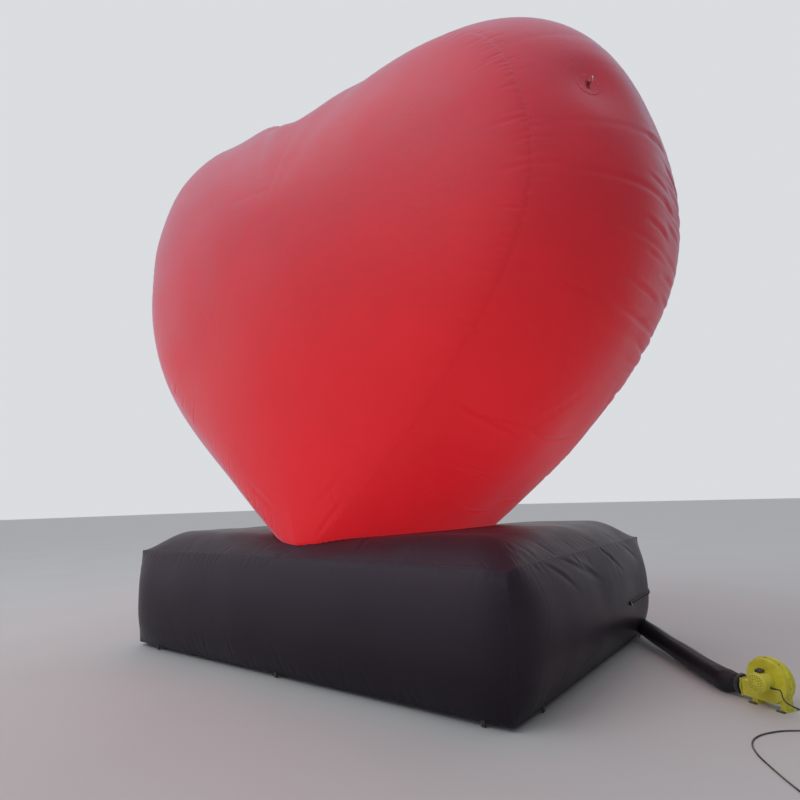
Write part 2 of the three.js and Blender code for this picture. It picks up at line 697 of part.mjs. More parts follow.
// Impeller: back plate, blades, shroud ring, hub and shaft, one moving piece
const IMPELLER = {
  radius: 100, bladeInner: 77, blades: 18, bladeThick: 2.5, bladeInset: 1, bladeLift: 2, bladeTilt: 0.35,
  plateY: -34, shroudY: 24, plateThick: 4, hubRadius: 19, hubBack: 3, hubFront: 27, sides: 36,
};
let impeller = joined(
  roundSolid(IMPELLER.radius, IMPELLER.plateY, IMPELLER.plateY + IMPELLER.plateThick,
    0, centreZ, IMPELLER.sides),
  roundSolid(IMPELLER.hubRadius, IMPELLER.plateY - IMPELLER.hubBack, IMPELLER.plateY + IMPELLER.hubFront,
    0, centreZ, SMALL_ROUND),
  flatRing(IMPELLER.bladeInner, IMPELLER.radius, IMPELLER.shroudY, IMPELLER.shroudY + IMPELLER.plateThick),
  roundSolid(BLOWER.shaftRadius, motorFront - BLOWER.shaftInBore, IMPELLER.plateY,
    0, centreZ, SMALL_ROUND),
);
for (let i = 0; i < IMPELLER.blades; i += 1) {
  const blade = new THREE.BoxGeometry(
    IMPELLER.radius - IMPELLER.bladeInner - 2 * IMPELLER.bladeInset,
    IMPELLER.shroudY - IMPELLER.plateY, IMPELLER.bladeThick,
  );
  blade.rotateY(IMPELLER.bladeTilt).translate((IMPELLER.radius + IMPELLER.bladeInner) / 2, 0, 0);
  blade.rotateY((i * 2 * Math.PI) / IMPELLER.blades);
  const middle = (IMPELLER.shroudY + IMPELLER.plateY) / 2 + IMPELLER.bladeLift;
  impeller = impeller.add(solid(blade, moved(0, middle, centreZ)));
}
addPiece('impeller', geometryOf(impeller), FINISH.darkPlastic, blower);

// Feet: two saddles under the drum, each on a broad sole
const FOOT = { halfDepth: 40, low: 6, high: 88, soleHalf: 76, soleOver: 8, soleThick: 8 };
const feet = [
  { name: 'blower_foot_outlet_side', x: [-120, -84] },
  { name: 'blower_foot_far_side', x: [76, 112] },
];
const keepClear = joined(
  drum(-halfWidth - FOOT.soleHalf, halfWidth + FOOT.soleHalf, GAP),
  roundSolid(BLOWER.flange + GAP, -wall - GAP, wall + GAP, 0, centreZ, ROUND),
);
for (const foot of feet) {
  const [x0, x1] = foot.x;
  const leg = boxSolid(foot.x, [-FOOT.halfDepth, FOOT.halfDepth], [FOOT.low, FOOT.high]);
  const sole = boxSolid(
    [x0 - FOOT.soleOver, x1 + FOOT.soleOver], [-FOOT.soleHalf, FOOT.soleHalf], [0, FOOT.soleThick],
  );
  const cut = joined(leg, sole).subtract(keepClear);
  addPiece(foot.name, geometryOf(largest(cut)), FINISH.limePlastic, blower);
}

// Strain relief on the motor's far side, from which the mains lead leaves along +X
const GLAND = { y: -92, z: 148, length: 30, sunk: 24, root: 8, end: 6, sides: 16 };
const glandBlank = new THREE.CylinderGeometry(
  GLAND.end, GLAND.root, GLAND.length + GLAND.sunk, GLAND.sides,
);
glandBlank.rotateZ(-Math.PI / 2);
glandBlank.translate(motorRadius + (GLAND.length - GLAND.sunk) / 2, GLAND.y, GLAND.z);
const aroundMotor = roundSolid(
  motorRadius + GAP, motorFront - motorLength - PAST, 0, 0, centreZ, SMALL_ROUND,
);
const gland = largest(solid(glandBlank).subtract(aroundMotor));
addPiece('lead_strain_relief', geometryOf(gland), FINISH.darkPlastic, blower);

blower.updateMatrixWorld(true);
const worldOf = (x, y, z) => new THREE.Vector3(x, y, z).applyMatrix4(blower.matrixWorld);

// Inflation tube: a sleeve from the plinth's right wall to a cuff strapped over the spout

const cuffStart = SPOUT_END + TUBE.overlap;
const cuffEnd = cuffStart - TUBE.cuffLength;
const cuffInner = BLOWER.spoutRadius + GAP;
const cuffOuter = cuffInner + TUBE.cuffWall;

// A turned piece round the spout's line: radii against distances from the cuff's mouth.
function onSpout(profile) {
  const piece = turned(profile, SMALL_ROUND);
  return cleaned(piece.rotateZ(Math.PI / 2).translate(cuffStart, 0, DUCT_MID));
}

addPiece('tube_cuff', onSpout([
  [cuffInner, 0], [cuffOuter, 0], [cuffOuter, TUBE.cuffSleeve], [TUBE.radius, TUBE.cuffLength],
  [TUBE.radius - TUBE.wall, TUBE.cuffLength], [cuffInner, TUBE.cuffSleeve], [cuffInner, 0],
]), FINISH.blackCloth, blower);

const strapInner = cuffOuter + GAP;
const strapOuter = strapInner + TUBE.strapThick;
addPiece('tube_clamp_strap', onSpout([
  [strapInner, TUBE.strapFrom], [strapOuter, TUBE.strapFrom], [strapOuter, TUBE.strapTo],
  [strapInner, TUBE.strapTo], [strapInner, TUBE.strapFrom],
]), FINISH.blackWebbing, blower);

const tubeStart = worldOf(cuffEnd - GAP, 0, DUCT_MID);
const tubeHeading = worldOf(cuffEnd - TUBE.leaves, 0, DUCT_MID);
const tubeArrival = new THREE.Vector3(
  HALF_X + TUBE.arrival.outside, TUBE.arrival.y, TUBE.arrival.z,
);
const tubeEnd = new THREE.Vector3(HALF_X - TUBE.end.inside, TUBE.end.y, TUBE.end.z);
const tubePath = new THREE.CubicBezierCurve3(tubeStart, tubeHeading, tubeArrival, tubeEnd);
const tubeSection = new THREE.Shape().absarc(0, 0, TUBE.radius, 0, 2 * Math.PI);
tubeSection.holes.push(new THREE.Path().absarc(0, 0, TUBE.radius - TUBE.wall, 0, 2 * Math.PI));
const tube = new THREE.ExtrudeGeometry(tubeSection, {
  steps: TUBE.steps, curveSegments: TUBE.sides, extrudePath: tubePath,
});
const rightBlock = solid(plinthPanel('right', TUBE.plug), moved(GAP, 0, 0));
addPiece('inflation_tube', geometryOf(largest(solid(tube).subtract(rightBlock))), FINISH.blackCloth);

// Mains lead: route on the ground, a spare coil and a plug

const leadStart = motorRadius + GLAND.length;
const FLOOR = LEAD.radius + LEAD.lift;
const leadExit = worldOf(leadStart + GAP, GLAND.y, GLAND.z);
const leadPoints = [
  leadExit,
  worldOf(leadStart + LEAD.straight, GLAND.y, GLAND.z),
  worldOf(leadStart + LEAD.fall.x, GLAND.y + LEAD.fall.y, LEAD.fall.z),
  ...LEAD_ROUTE.map(([x, y, lift]) => new THREE.Vector3(x, y, FLOOR + lift)),
];
const leadPath = new THREE.CatmullRomCurve3(leadPoints, false, 'centripetal');
const leadSection = new THREE.Shape().absarc(0, 0, LEAD.radius, 0, 2 * Math.PI);
const lead = new THREE.ExtrudeGeometry(leadSection, {
  steps: LEAD.steps, curveSegments: LEAD.sides / 2, extrudePath: leadPath,
});
addPiece('mains_lead', cleaned(lead), FINISH.blackRubber);

// The spare length lies in a flat coil of turns side by side, two layers high
const coilMiddle = LEAD.coilRadius;
const coilInner = coilMiddle - 2 * LEAD.radius;
const coilOuter = coilMiddle + 2 * LEAD.radius;
const coilHeight = 4 * LEAD.radius;
const coilRing = turned([
  [coilInner, 0], [coilOuter, 0], [coilOuter, coilHeight], [coilInner, coilHeight], [coilInner, 0],
], LEAD.coilSides).rotateX(Math.PI / 2);
const heading = leadPath.getTangentAt(1);
const leadStop = leadPath.getPointAt(1);
const outerTurn = coilMiddle + LEAD.radius;
const coilCentre = new THREE.Vector3(
  leadStop.x + heading.x * LEAD.turnIn - heading.y * outerTurn,
  leadStop.y + heading.y * LEAD.turnIn + heading.x * outerTurn,
  LEAD.lift,
);
const coil = addPiece('lead_coil', cleaned(coilRing), FINISH.blackRubber);
coil.position.copy(coilCentre);

// Plug: a tapered grip behind a moulded body with two pins, lying beside the coil
const PLUG = {
  grip: 30, gripRoot: 6, gripFlare: 2, body: 34, width: 28, height: 16, sides: 12,
  pin: 19, pinRadius: 2.4, pinApart: 9.5, sunk: 2,
};
const plug = new THREE.Group();
plug.rotation.z = Math.PI / 2;
plug.position.set(coilCentre.x + outerTurn, coilCentre.y + LEAD.turnOut, PLUG.height / 2 + LEAD.lift);
object.add(plug);
const plugGrip = new THREE.CylinderGeometry(
  PLUG.gripRoot + PLUG.gripFlare, PLUG.gripRoot, PLUG.grip, PLUG.sides,
);
plugGrip.rotateZ(-Math.PI / 2).translate(PLUG.grip / 2, 0, 0);
const plugEnd = PLUG.grip + PLUG.body;
let plugBody = solid(plugGrip).add(boxSolid(
  [PLUG.grip - PLUG.sunk, plugEnd], [-PLUG.width / 2, PLUG.width / 2],
  [-PLUG.height / 2, PLUG.height / 2],
));
for (const across of [-PLUG.pinApart, PLUG.pinApart]) {
  const pin = new THREE.CylinderGeometry(
    PLUG.pinRadius, PLUG.pinRadius, PLUG.pin + PLUG.sunk, PLUG.sides,
  );
  pin.rotateZ(-Math.PI / 2).translate(plugEnd + (PLUG.pin - PLUG.sunk) / 2, across, 0);
  plugBody = plugBody.add(solid(pin));
}
addPiece('lead_plug', geometryOf(plugBody), FINISH.darkPlastic, plug);

export default object;
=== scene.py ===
"""Looks of an inflatable heart that stands on an inflated plinth, fed by a floor blower.

Metres, +Z up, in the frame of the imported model. The heart faces -Y.
"""

import itertools
import json
import logging
import math
from dataclasses import dataclass, field
from functools import cached_property
from enum import Enum
from typing import Any, Callable, Sequence

import bmesh
import bpy
import numpy as np
from mathutils import Matrix, Vector

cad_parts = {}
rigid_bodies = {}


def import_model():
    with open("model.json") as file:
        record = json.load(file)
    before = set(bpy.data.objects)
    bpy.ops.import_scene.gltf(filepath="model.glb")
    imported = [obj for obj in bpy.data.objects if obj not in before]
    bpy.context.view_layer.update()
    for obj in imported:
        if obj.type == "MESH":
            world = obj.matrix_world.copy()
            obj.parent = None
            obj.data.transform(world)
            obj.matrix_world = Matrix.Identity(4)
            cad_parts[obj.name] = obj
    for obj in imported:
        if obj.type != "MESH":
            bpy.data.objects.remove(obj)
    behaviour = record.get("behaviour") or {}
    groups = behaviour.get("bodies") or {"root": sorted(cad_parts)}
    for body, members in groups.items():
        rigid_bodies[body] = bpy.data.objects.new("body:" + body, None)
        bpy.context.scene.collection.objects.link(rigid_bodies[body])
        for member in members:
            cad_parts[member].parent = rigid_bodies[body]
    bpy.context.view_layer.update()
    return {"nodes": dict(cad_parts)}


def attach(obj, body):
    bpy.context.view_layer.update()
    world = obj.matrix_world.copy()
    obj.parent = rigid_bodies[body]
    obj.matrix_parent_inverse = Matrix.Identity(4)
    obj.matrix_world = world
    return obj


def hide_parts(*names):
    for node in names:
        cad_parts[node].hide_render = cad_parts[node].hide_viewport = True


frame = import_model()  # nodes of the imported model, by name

STILL = "inflatable"  # body of all that stands still
FULL = 2 * math.pi  # one turn in radians

logging.basicConfig(level=logging.INFO, format="%(name)s: %(message)s")
log = logging.getLogger("heart")


# Numbers and meshes


def smooth(value: np.ndarray | float, low: float, high: float) -> np.ndarray:
    """Rise from 0 at low to 1 at high with level ends.

    Args:
        value: Where it is read.
        low: Where the rise starts.
        high: Where it ends.

    Returns:
        The share, of the shape of value.
    """
    share = np.clip((np.asarray(value, float) - low) / (high - low), 0.0, 1.0)
    return share * share * (3.0 - 2.0 * share)


def bell(away: np.ndarray, width: float = 1.0) -> np.ndarray:
    """Bell curve, 1 where away is 0 and 0.37 at one width from there."""
    return np.exp(-((away / width) ** 2))


def wrapped(angle: np.ndarray | float, full: float = 360.0) -> np.ndarray:
    """The same angle, from minus half a turn to half a turn."""
    return (angle + full / 2) % full - full / 2


def paired(*columns: np.ndarray) -> np.ndarray:
    """Arrays whose shapes go together, as the columns of one list of rows."""
    return np.stack(np.broadcast_arrays(*columns), axis=-1).reshape(-1, len(columns))


def linked(name: str, data: bpy.types.ID) -> bpy.types.Object:
    """An object with this data, in the scene."""
    made = bpy.data.objects.new(name, data)
    bpy.context.scene.collection.objects.link(made)
    return made


def bezier(points: Sequence[Sequence[float]], count: int) -> np.ndarray:
    """Points along a cubic Bezier span.

    Args:
        points: Its four control points.
        count: How many points to give.

    Returns:
        An array of count rows.
    """
    a, b, c, d = (np.asarray(p, float) for p in points)
    t = np.linspace(0.0, 1.0, count)[:, None]
    u = 1.0 - t
    return u**3 * a + 3 * u * u * t * b + 3 * u * t * t * c + t**3 * d


def unit(vectors: np.ndarray) -> np.ndarray:
    """Vectors of length 1 along the last axis."""
    return vectors / np.maximum(np.linalg.norm(vectors, axis=-1, keepdims=True), 1e-12)


def run_length(points: np.ndarray) -> np.ndarray:
    """Distance run along the first axis of an array of points.

    Args:
        points: Points, with the run along the first axis.

    Returns:
        The distance at each point, from 0.
    """
    step = np.linalg.norm(np.diff(points, axis=0), axis=-1)
    start = np.zeros((1,) + step.shape[1:])
    return np.concatenate([start, np.cumsum(step, axis=0)])


@dataclass
class Sheet:
    """Points, corners and flat places of a surface while it is put together."""

    points: np.ndarray
    faces: list[np.ndarray] = field(default_factory=list)
    flat: np.ndarray | None = None  # place of each point on the flat cloth, in metres
    seam: np.ndarray | None = None  # distance along the nearest seam and from it

    def grid(self, rows: int, columns: int, start: int = 0, closed: bool = False) -> "Sheet":
        """Joins a grid of points with squares.

        Args:
            rows: Rows of the grid.
            columns: Points in a row.
            start: Number of its first point.
            closed: Whether each row runs back to its first point.

        Returns:
            This sheet.
        """
        number = start + np.arange(rows * columns).reshape(rows, columns)
        if closed:
            number = np.concatenate([number, number[:, :1]], axis=1)
        corners = [number[:-1, :-1], number[:-1, 1:], number[1:, 1:], number[1:, :-1]]
        self.faces.append(np.stack(corners, axis=-1).reshape(-1, 4))
        return self

    def rings(self, counts: Sequence[int]) -> "Sheet":
        """Joins closed rings of points, each with as many as the one before, a quarter, or one.

        Args:
            counts: Points in each ring, from the outside in.

        Returns:
            This sheet.
        """
        starts = np.concatenate([[0], np.cumsum(counts)])
        for k in range(len(counts) - 1):
            many, few = counts[k], counts[k + 1]
            outer, inner = starts[k], starts[k + 1]
            i = np.arange(few)
            if many == few:
                self.grid(2, many, outer, closed=True)
            elif few == 1:
                j = np.arange(many)
                rim = outer + np.stack([j, (j + 1) % many], axis=-1)
                self.faces.append(np.column_stack([rim, np.full(many, inner)]))
            else:
                rim = [outer + (4 * i + k) % many for k in range(5)]
                here, after = inner + i, inner + (i + 1) % few
                for corners in (
                    (here, rim[0], rim[1]), (here, rim[1], rim[2]), (here, rim[2], after),
                    (after, rim[2], rim[3]), (after, rim[3], rim[4]),
                ):
                    self.faces.append(np.stack(corners, axis=-1))
        return self

    def turned(self) -> "Sheet":
        """This sheet, with its faces the other way round."""
        self.faces = [corners[:, ::-1] for corners in self.faces]
        return self

    def without(self, hidden: np.ndarray) -> "Sheet":
        """Leaves out each face whose points are all hidden.

        Args:
            hidden: Truth for each point.

        Returns:
            This sheet, without the points that no face needs.
        """
        self.faces = [f[~hidden[f].all(axis=1)] for f in self.faces]
        used = np.zeros(len(self.points), bool)
        for corners in self.faces:
            used[corners.ravel()] = True
        number = np.cumsum(used) - 1
        self.faces = [number[f] for f in self.faces]
        self.points = self.points[used]
        if self.flat is not None:
            self.flat = self.flat[used]
        if self.seam is not None:
            self.seam = self.seam[used]
        return self

    def piece(self, name: str, inside: Sequence[float] | None = None) -> bpy.types.Object:
        """Makes the surface an object.

        Args:
            name: Name of the piece.
            inside: A point that lies behind the surface, from which its faces point away.

        Returns:
            The object.
        """
        if inside is not None:
            away = 0.0
            for corners in self.faces:
                a, b, c = (self.points[corners[:, k]] for k in range(3))
                away = away + (np.cross(b - a, c - a) * (a - np.asarray(inside))).sum()
            if away < 0:
                self.turned()
        mesh = bpy.data.meshes.new(name)
        corners = np.concatenate([f.ravel() for f in self.faces]).astype(np.int32)
        sizes = np.concatenate([np.full(len(f), f.shape[1]) for f in self.faces])
        starts = np.concatenate([[0], np.cumsum(sizes)[:-1]]).astype(np.int32)
        mesh.vertices.add(len(self.points))
        mesh.vertices.foreach_set("co", self.points.astype(np.float32).ravel())
        mesh.loops.add(len(corners))
        mesh.loops.foreach_set("vertex_index", corners)
        mesh.polygons.add(len(sizes))
        mesh.polygons.foreach_set("loop_start", starts)
        mesh.polygons.foreach_set("use_smooth", np.ones(len(sizes), bool))
        for title, places in ((FLAT, self.flat), (SEAM, self.seam)):
            if places is not None:
                layer = mesh.uv_layers.new(name=title)
                layer.data.foreach_set("uv", places[corners].astype(np.float32).ravel())
        mesh.update(calc_edges=True)
        mesh.validate()
        return linked(name, mesh)


FLAT = "flat"  # UV map that gives each point's place on the flat cloth, in metres
SEAM = "seam"  # UV map that gives its distance along the nearest seam, and from it


# Finishes


Socket = bpy.types.NodeSocket


class Tree:
    """A node tree that is filled node by node."""

    def __init__(self, tree: bpy.types.NodeTree) -> None:
        """Starts with the nodes that the tree has."""
        self.tree = tree

    def node(self, kind: str, inputs: dict[str | int, Any] | None = None, **settings: Any) -> bpy.types.Node:
        """Adds a node.

        Args:
            kind: Its type, without ShaderNode.
            inputs: Values or sockets for its inputs.
            settings: Its own settings.

        Returns:
            The node.
        """
        made = self.tree.nodes.new("ShaderNode" + kind)
        for name, value in settings.items():
            setattr(made, name, value)
        for key, value in (inputs or {}).items():
            self.give(made.inputs[key], value)
        return made

    def give(self, socket: Socket, value: Any) -> None:
        """Links a socket to an input, or sets its value."""
        if isinstance(value, Socket):
            self.tree.links.new(value, socket)
        else:
            socket.default_value = value

    def math(self, operation: str, *values: Any) -> Socket:
        """Result of a Math node on one, two or three values."""
        return self.node("Math", dict(enumerate(values)), operation=operation).outputs[0]

    def ranged(self, value: Any, low: float, high: float, start: float = 0.0, end: float = 1.0) -> Socket:
        """A value's smooth passage from low to high, as one from start to end."""
        given = {"Value": value, 1: low, 2: high, 3: start, 4: end}
        return self.node("MapRange", given, interpolation_type="SMOOTHSTEP").outputs[0]

    def mixed(self, share: Any, first: Any, second: Any) -> Socket:
        """Colour between two colours."""
        made = self.node("Mix", data_type="RGBA")
        for key, value in (("Factor_Float", share), ("A_Color", first), ("B_Color", second)):
            socket = next(i for i in made.inputs if i.identifier == key)
            self.give(socket, (*value, 1.0) if isinstance(value, tuple) and len(value) == 3 else value)
        return next(o for o in made.outputs if o.identifier == "Result_Color")

    def noise(self, place: Socket, scale: float, detail: float = 3.0, stretch: float = 0.0) -> Socket:
        """Value of a noise texture.

        Args:
            place: Where it is read.
            scale: Its scale.
            detail: Its detail.
            stretch: Its distortion.

        Returns:
            The value, about 0.5 on average.
        """
        given = {"Vector": place, "Scale": scale, "Detail": detail, "Distortion": stretch}
        return self.node("TexNoise", given).outputs[0]

    def effect(self, tree: bpy.types.NodeTree, **inputs: Any) -> dict[str, Socket]:
        """Places a shared effect.

        Args:
            tree: Its node group.
            inputs: Its inputs, with spaces written as underscores.

        Returns:
            Its outputs by name.
        """
        made = self.node("Group", node_tree=tree)
        for name, value in inputs.items():
            self.give(made.inputs[name.replace("_", " ")], value)
        return {socket.name: socket for socket in made.outputs}


@dataclass(frozen=True)
class Effect:
    """A shared effect: the names of its group's inputs and outputs, and what fills it."""

    name: str
    inputs: tuple[tuple[str, str], ...]
    outputs: tuple[str, ...]
    fill: Callable[[Tree, dict[str, Socket]], Sequence[Socket]]

    def group(self) -> bpy.types.NodeTree:
        """The node group, made when it is first needed."""
        known = bpy.data.node_groups.get(self.name)
        if known is not None:
            return known
        tree = bpy.data.node_groups.new(self.name, "ShaderNodeTree")
        for name, kind in self.inputs:
            tree.interface.new_socket(name, in_out="INPUT", socket_type="NodeSocket" + kind)
        for name in self.outputs:
            tree.interface.new_socket(name, in_out="OUTPUT", socket_type="NodeSocketFloat")
        work = Tree(tree)
        start = tree.nodes.new("NodeGroupInput")
        end = tree.nodes.new("NodeGroupOutput")
        given = {socket.name: socket for socket in start.outputs if socket.name}
        for name, value in zip(self.outputs, self.fill(work, given)):
            tree.links.new(value, end.inputs[name])
        return tree


def fill_weave(tree: Tree, given: dict[str, Socket]) -> Sequence[Socket]:
    """Plain weave: threads that pass over and under each other, with a rib at intervals."""
    parts = tree.node("SeparateXYZ", {0: given["Place"]}).outputs
    humps, cells, ribs = [], [], []
    for axis in parts[:2]:
        at = tree.math("DIVIDE", axis, given["Pitch"])
        humps.append(tree.math("ABSOLUTE", tree.math("SINE", tree.math("MULTIPLY", at, math.pi))))
        cells.append(tree.math("FLOOR", at))
        rib = tree.math("PINGPONG", tree.math("DIVIDE", axis, given["Rib Pitch"]), 0.5)
        ribs.append(tree.ranged(rib, 0.09, 0.03))
    over = tree.math("PINGPONG", tree.math("ADD", *cells), 1.0)
    level = tree.math("ADD", tree.math("MULTIPLY", humps[0], over),
                      tree.math("MULTIPLY", humps[1], tree.math("SUBTRACT", 1.0, over)))
    return level, tree.math("MAXIMUM", *ribs)


def fill_crinkle(tree: Tree, given: dict[str, Socket]) -> Sequence[Socket]:
    """Fine sharp creases of a coated cloth, in patches."""
    warped = tree.node("VectorMath", {0: given["Place"], 3: given["Scale"]}, operation="SCALE").outputs[0]
    creases = []
    for scale, twist in ((1.0, 1.4), (2.7, 0.8)):
        value = tree.noise(warped, scale, 2.0, twist)
        valley = tree.math("ABSOLUTE", tree.math("SUBTRACT", value, 0.5))
        creases.append(tree.math("POWER", tree.math("MULTIPLY", valley, 5.0), 0.7))
    patches = tree.ranged(tree.noise(warped, 0.35, 1.0), 0.42, 0.62)
    height = tree.math("MULTIPLY_ADD", creases[1], 0.4, creases[0])
    return tree.math("MULTIPLY", height, patches), patches


def fill_blotches(tree: Tree, given: dict[str, Socket]) -> Sequence[Socket]:
    """Slow, cloudy change of shade over a large skin."""
    slow = tree.noise(given["Place"], 0.45, 4.0, 0.3)
    quick = tree.noise(given["Place"], 3.1, 5.0, 0.2)
    both = tree.math("MULTIPLY_ADD", quick, 0.35, tree.math("MULTIPLY", slow, 0.65))
    return (tree.ranged(both, 0.36, 0.64),)


def fill_soil(tree: Tree, given: dict[str, Socket]) -> Sequence[Socket]:
    """Dust that lies thickest near the ground and in level places."""
    height = tree.node("SeparateXYZ", {0: given["Place"]}).outputs[2]
    low = tree.math("MULTIPLY", tree.ranged(height, 0.45, 0.0), given["Low"])
    facing = tree.node("NewGeometry").outputs["Normal"]
    level = tree.ranged(tree.node("SeparateXYZ", {0: facing}).outputs[2], 0.35, 1.0)
    level = tree.math("MULTIPLY", level, given["Level"])
    clumps, specks = tree.noise(given["Place"], 7.0, 8.0), tree.noise(given["Place"], 160.0, 2.0)
    grains = tree.math("MULTIPLY", clumps, specks)
    speckle = tree.ranged(grains, 0.12, 0.36)
    return (tree.math("MULTIPLY", tree.math("ADD", low, level), speckle),)


def fill_stitches(tree: Tree, given: dict[str, Socket]) -> Sequence[Socket]:
    """Two rows of lockstitch along a seam, by the distance along it and across it."""
    parts = tree.node("SeparateXYZ", {0: given["Place"]}).outputs
    along = tree.math("FRACT", tree.math("DIVIDE", parts[0], given["Pitch"]))
    dash = tree.ranged(tree.math("ABSOLUTE", tree.math("SUBTRACT", along, 0.5)), 0.36, 0.28)
    row = tree.math("ABSOLUTE", tree.math("SUBTRACT", tree.math("ABSOLUTE", parts[1]), given["Row"]))
    thread = tree.math("SUBTRACT", 1.0, tree.math("DIVIDE", row, given["Thread"]))
    thread = tree.math("MAXIMUM", thread, 0.0)
    dip = tree.math("MULTIPLY", tree.ranged(row, 0.0035, 0.0), -0.5)
    mask = tree.math("MULTIPLY", dash, tree.math("MINIMUM", tree.math("MULTIPLY", thread, 3.0), 1.0))
    return mask, tree.math("MULTIPLY_ADD", dash, thread, dip)


def fill_grain(tree: Tree, given: dict[str, Socket]) -> Sequence[Socket]:
    """Fine spark-eroded grain of moulded plastic."""
    fine = tree.noise(given["Place"], 900.0, 3.0)
    wide = tree.noise(given["Place"], 14.0, 4.0, 0.4)
    return fine, wide


def fill_wear(tree: Tree, given: dict[str, Socket]) -> Sequence[Socket]:
    """Rubbed edges: where the rounded normal leaves the true one."""
    rounded = tree.node("Bevel", {"Radius": given["Radius"]}, samples=6).outputs[0]
    true = tree.node("NewGeometry").outputs["Normal"]
    agree = tree.node("VectorMath", {0: rounded, 1: true}, operation="DOT_PRODUCT").outputs["Value"]
    edge = tree.ranged(agree, 0.985, 0.86)
    rough = tree.ranged(tree.noise(given["Place"], 55.0, 4.0, 0.6), 0.42, 0.6)
    return (tree.math("MULTIPLY", edge, rough),)


PLACE = ("Place", "Vector")
WEAVE = Effect(
    "cloth weave", (PLACE, ("Pitch", "Float"), ("Rib Pitch", "Float")), ("Height", "Rib"), fill_weave,
)
CRINKLE = Effect("cloth crinkle", (PLACE, ("Scale", "Float")), ("Height", "Patches"), fill_crinkle)
BLOTCHES = Effect("blotches", (PLACE,), ("Mask",), fill_blotches)
SOIL = Effect("dust", (PLACE, ("Low", "Float"), ("Level", "Float")), ("Mask",), fill_soil)
STITCHES = Effect(
    "stitching", (PLACE, ("Pitch", "Float"), ("Row", "Float"), ("Thread", "Float")), ("Mask", "Height"),
    fill_stitches,
)
GRAIN = Effect("moulded grain", (PLACE,), ("Height", "Drift"), fill_grain)
WEAR = Effect("worn edges", (PLACE, ("Radius", "Float")), ("Mask",), fill_wear)

Colour = tuple[float, float, float]


class Finish:
    """What every finish shares: an empty material, its shader and its coordinates."""

    name: str

    def start(self) -> tuple[bpy.types.Material, Tree, bpy.types.Node]:
        """Makes the material with its shader alone."""
        made = bpy.data.materials.new(self.name)
        made.use_nodes = True
        return made, Tree(made.node_tree), made.node_tree.nodes["Principled BSDF"]

    @staticmethod
    def flat(tree: Tree) -> Socket:
        """The place on the flat cloth."""
        return tree.node("UVMap", uv_map=FLAT).outputs[0]

    @staticmethod
    def sewn(tree: Tree) -> Socket:
        """The place along the nearest seam and away from it."""
        return tree.node("UVMap", uv_map=SEAM).outputs[0]

    @staticmethod
    def solid(tree: Tree) -> Socket:
        """The place in the object, in metres."""
        return tree.node("TexCoord").outputs["Object"]

    @staticmethod
    def bumps(tree: Tree, *layers: tuple[Socket, float, float]) -> Socket:
        """Normal after several heights.

        Args:
            tree: The material's tree.
            layers: Height, strength and distance of each, the coarsest first.

        Returns:
            The normal.
        """
        normal: Socket | None = None
        for height, strength, distance in layers:
            given = {"Height": height, "Strength": strength, "Distance": distance}
            if normal is not None:
                given["Normal"] = normal
            normal = tree.node("Bump", given).outputs[0]
        return normal


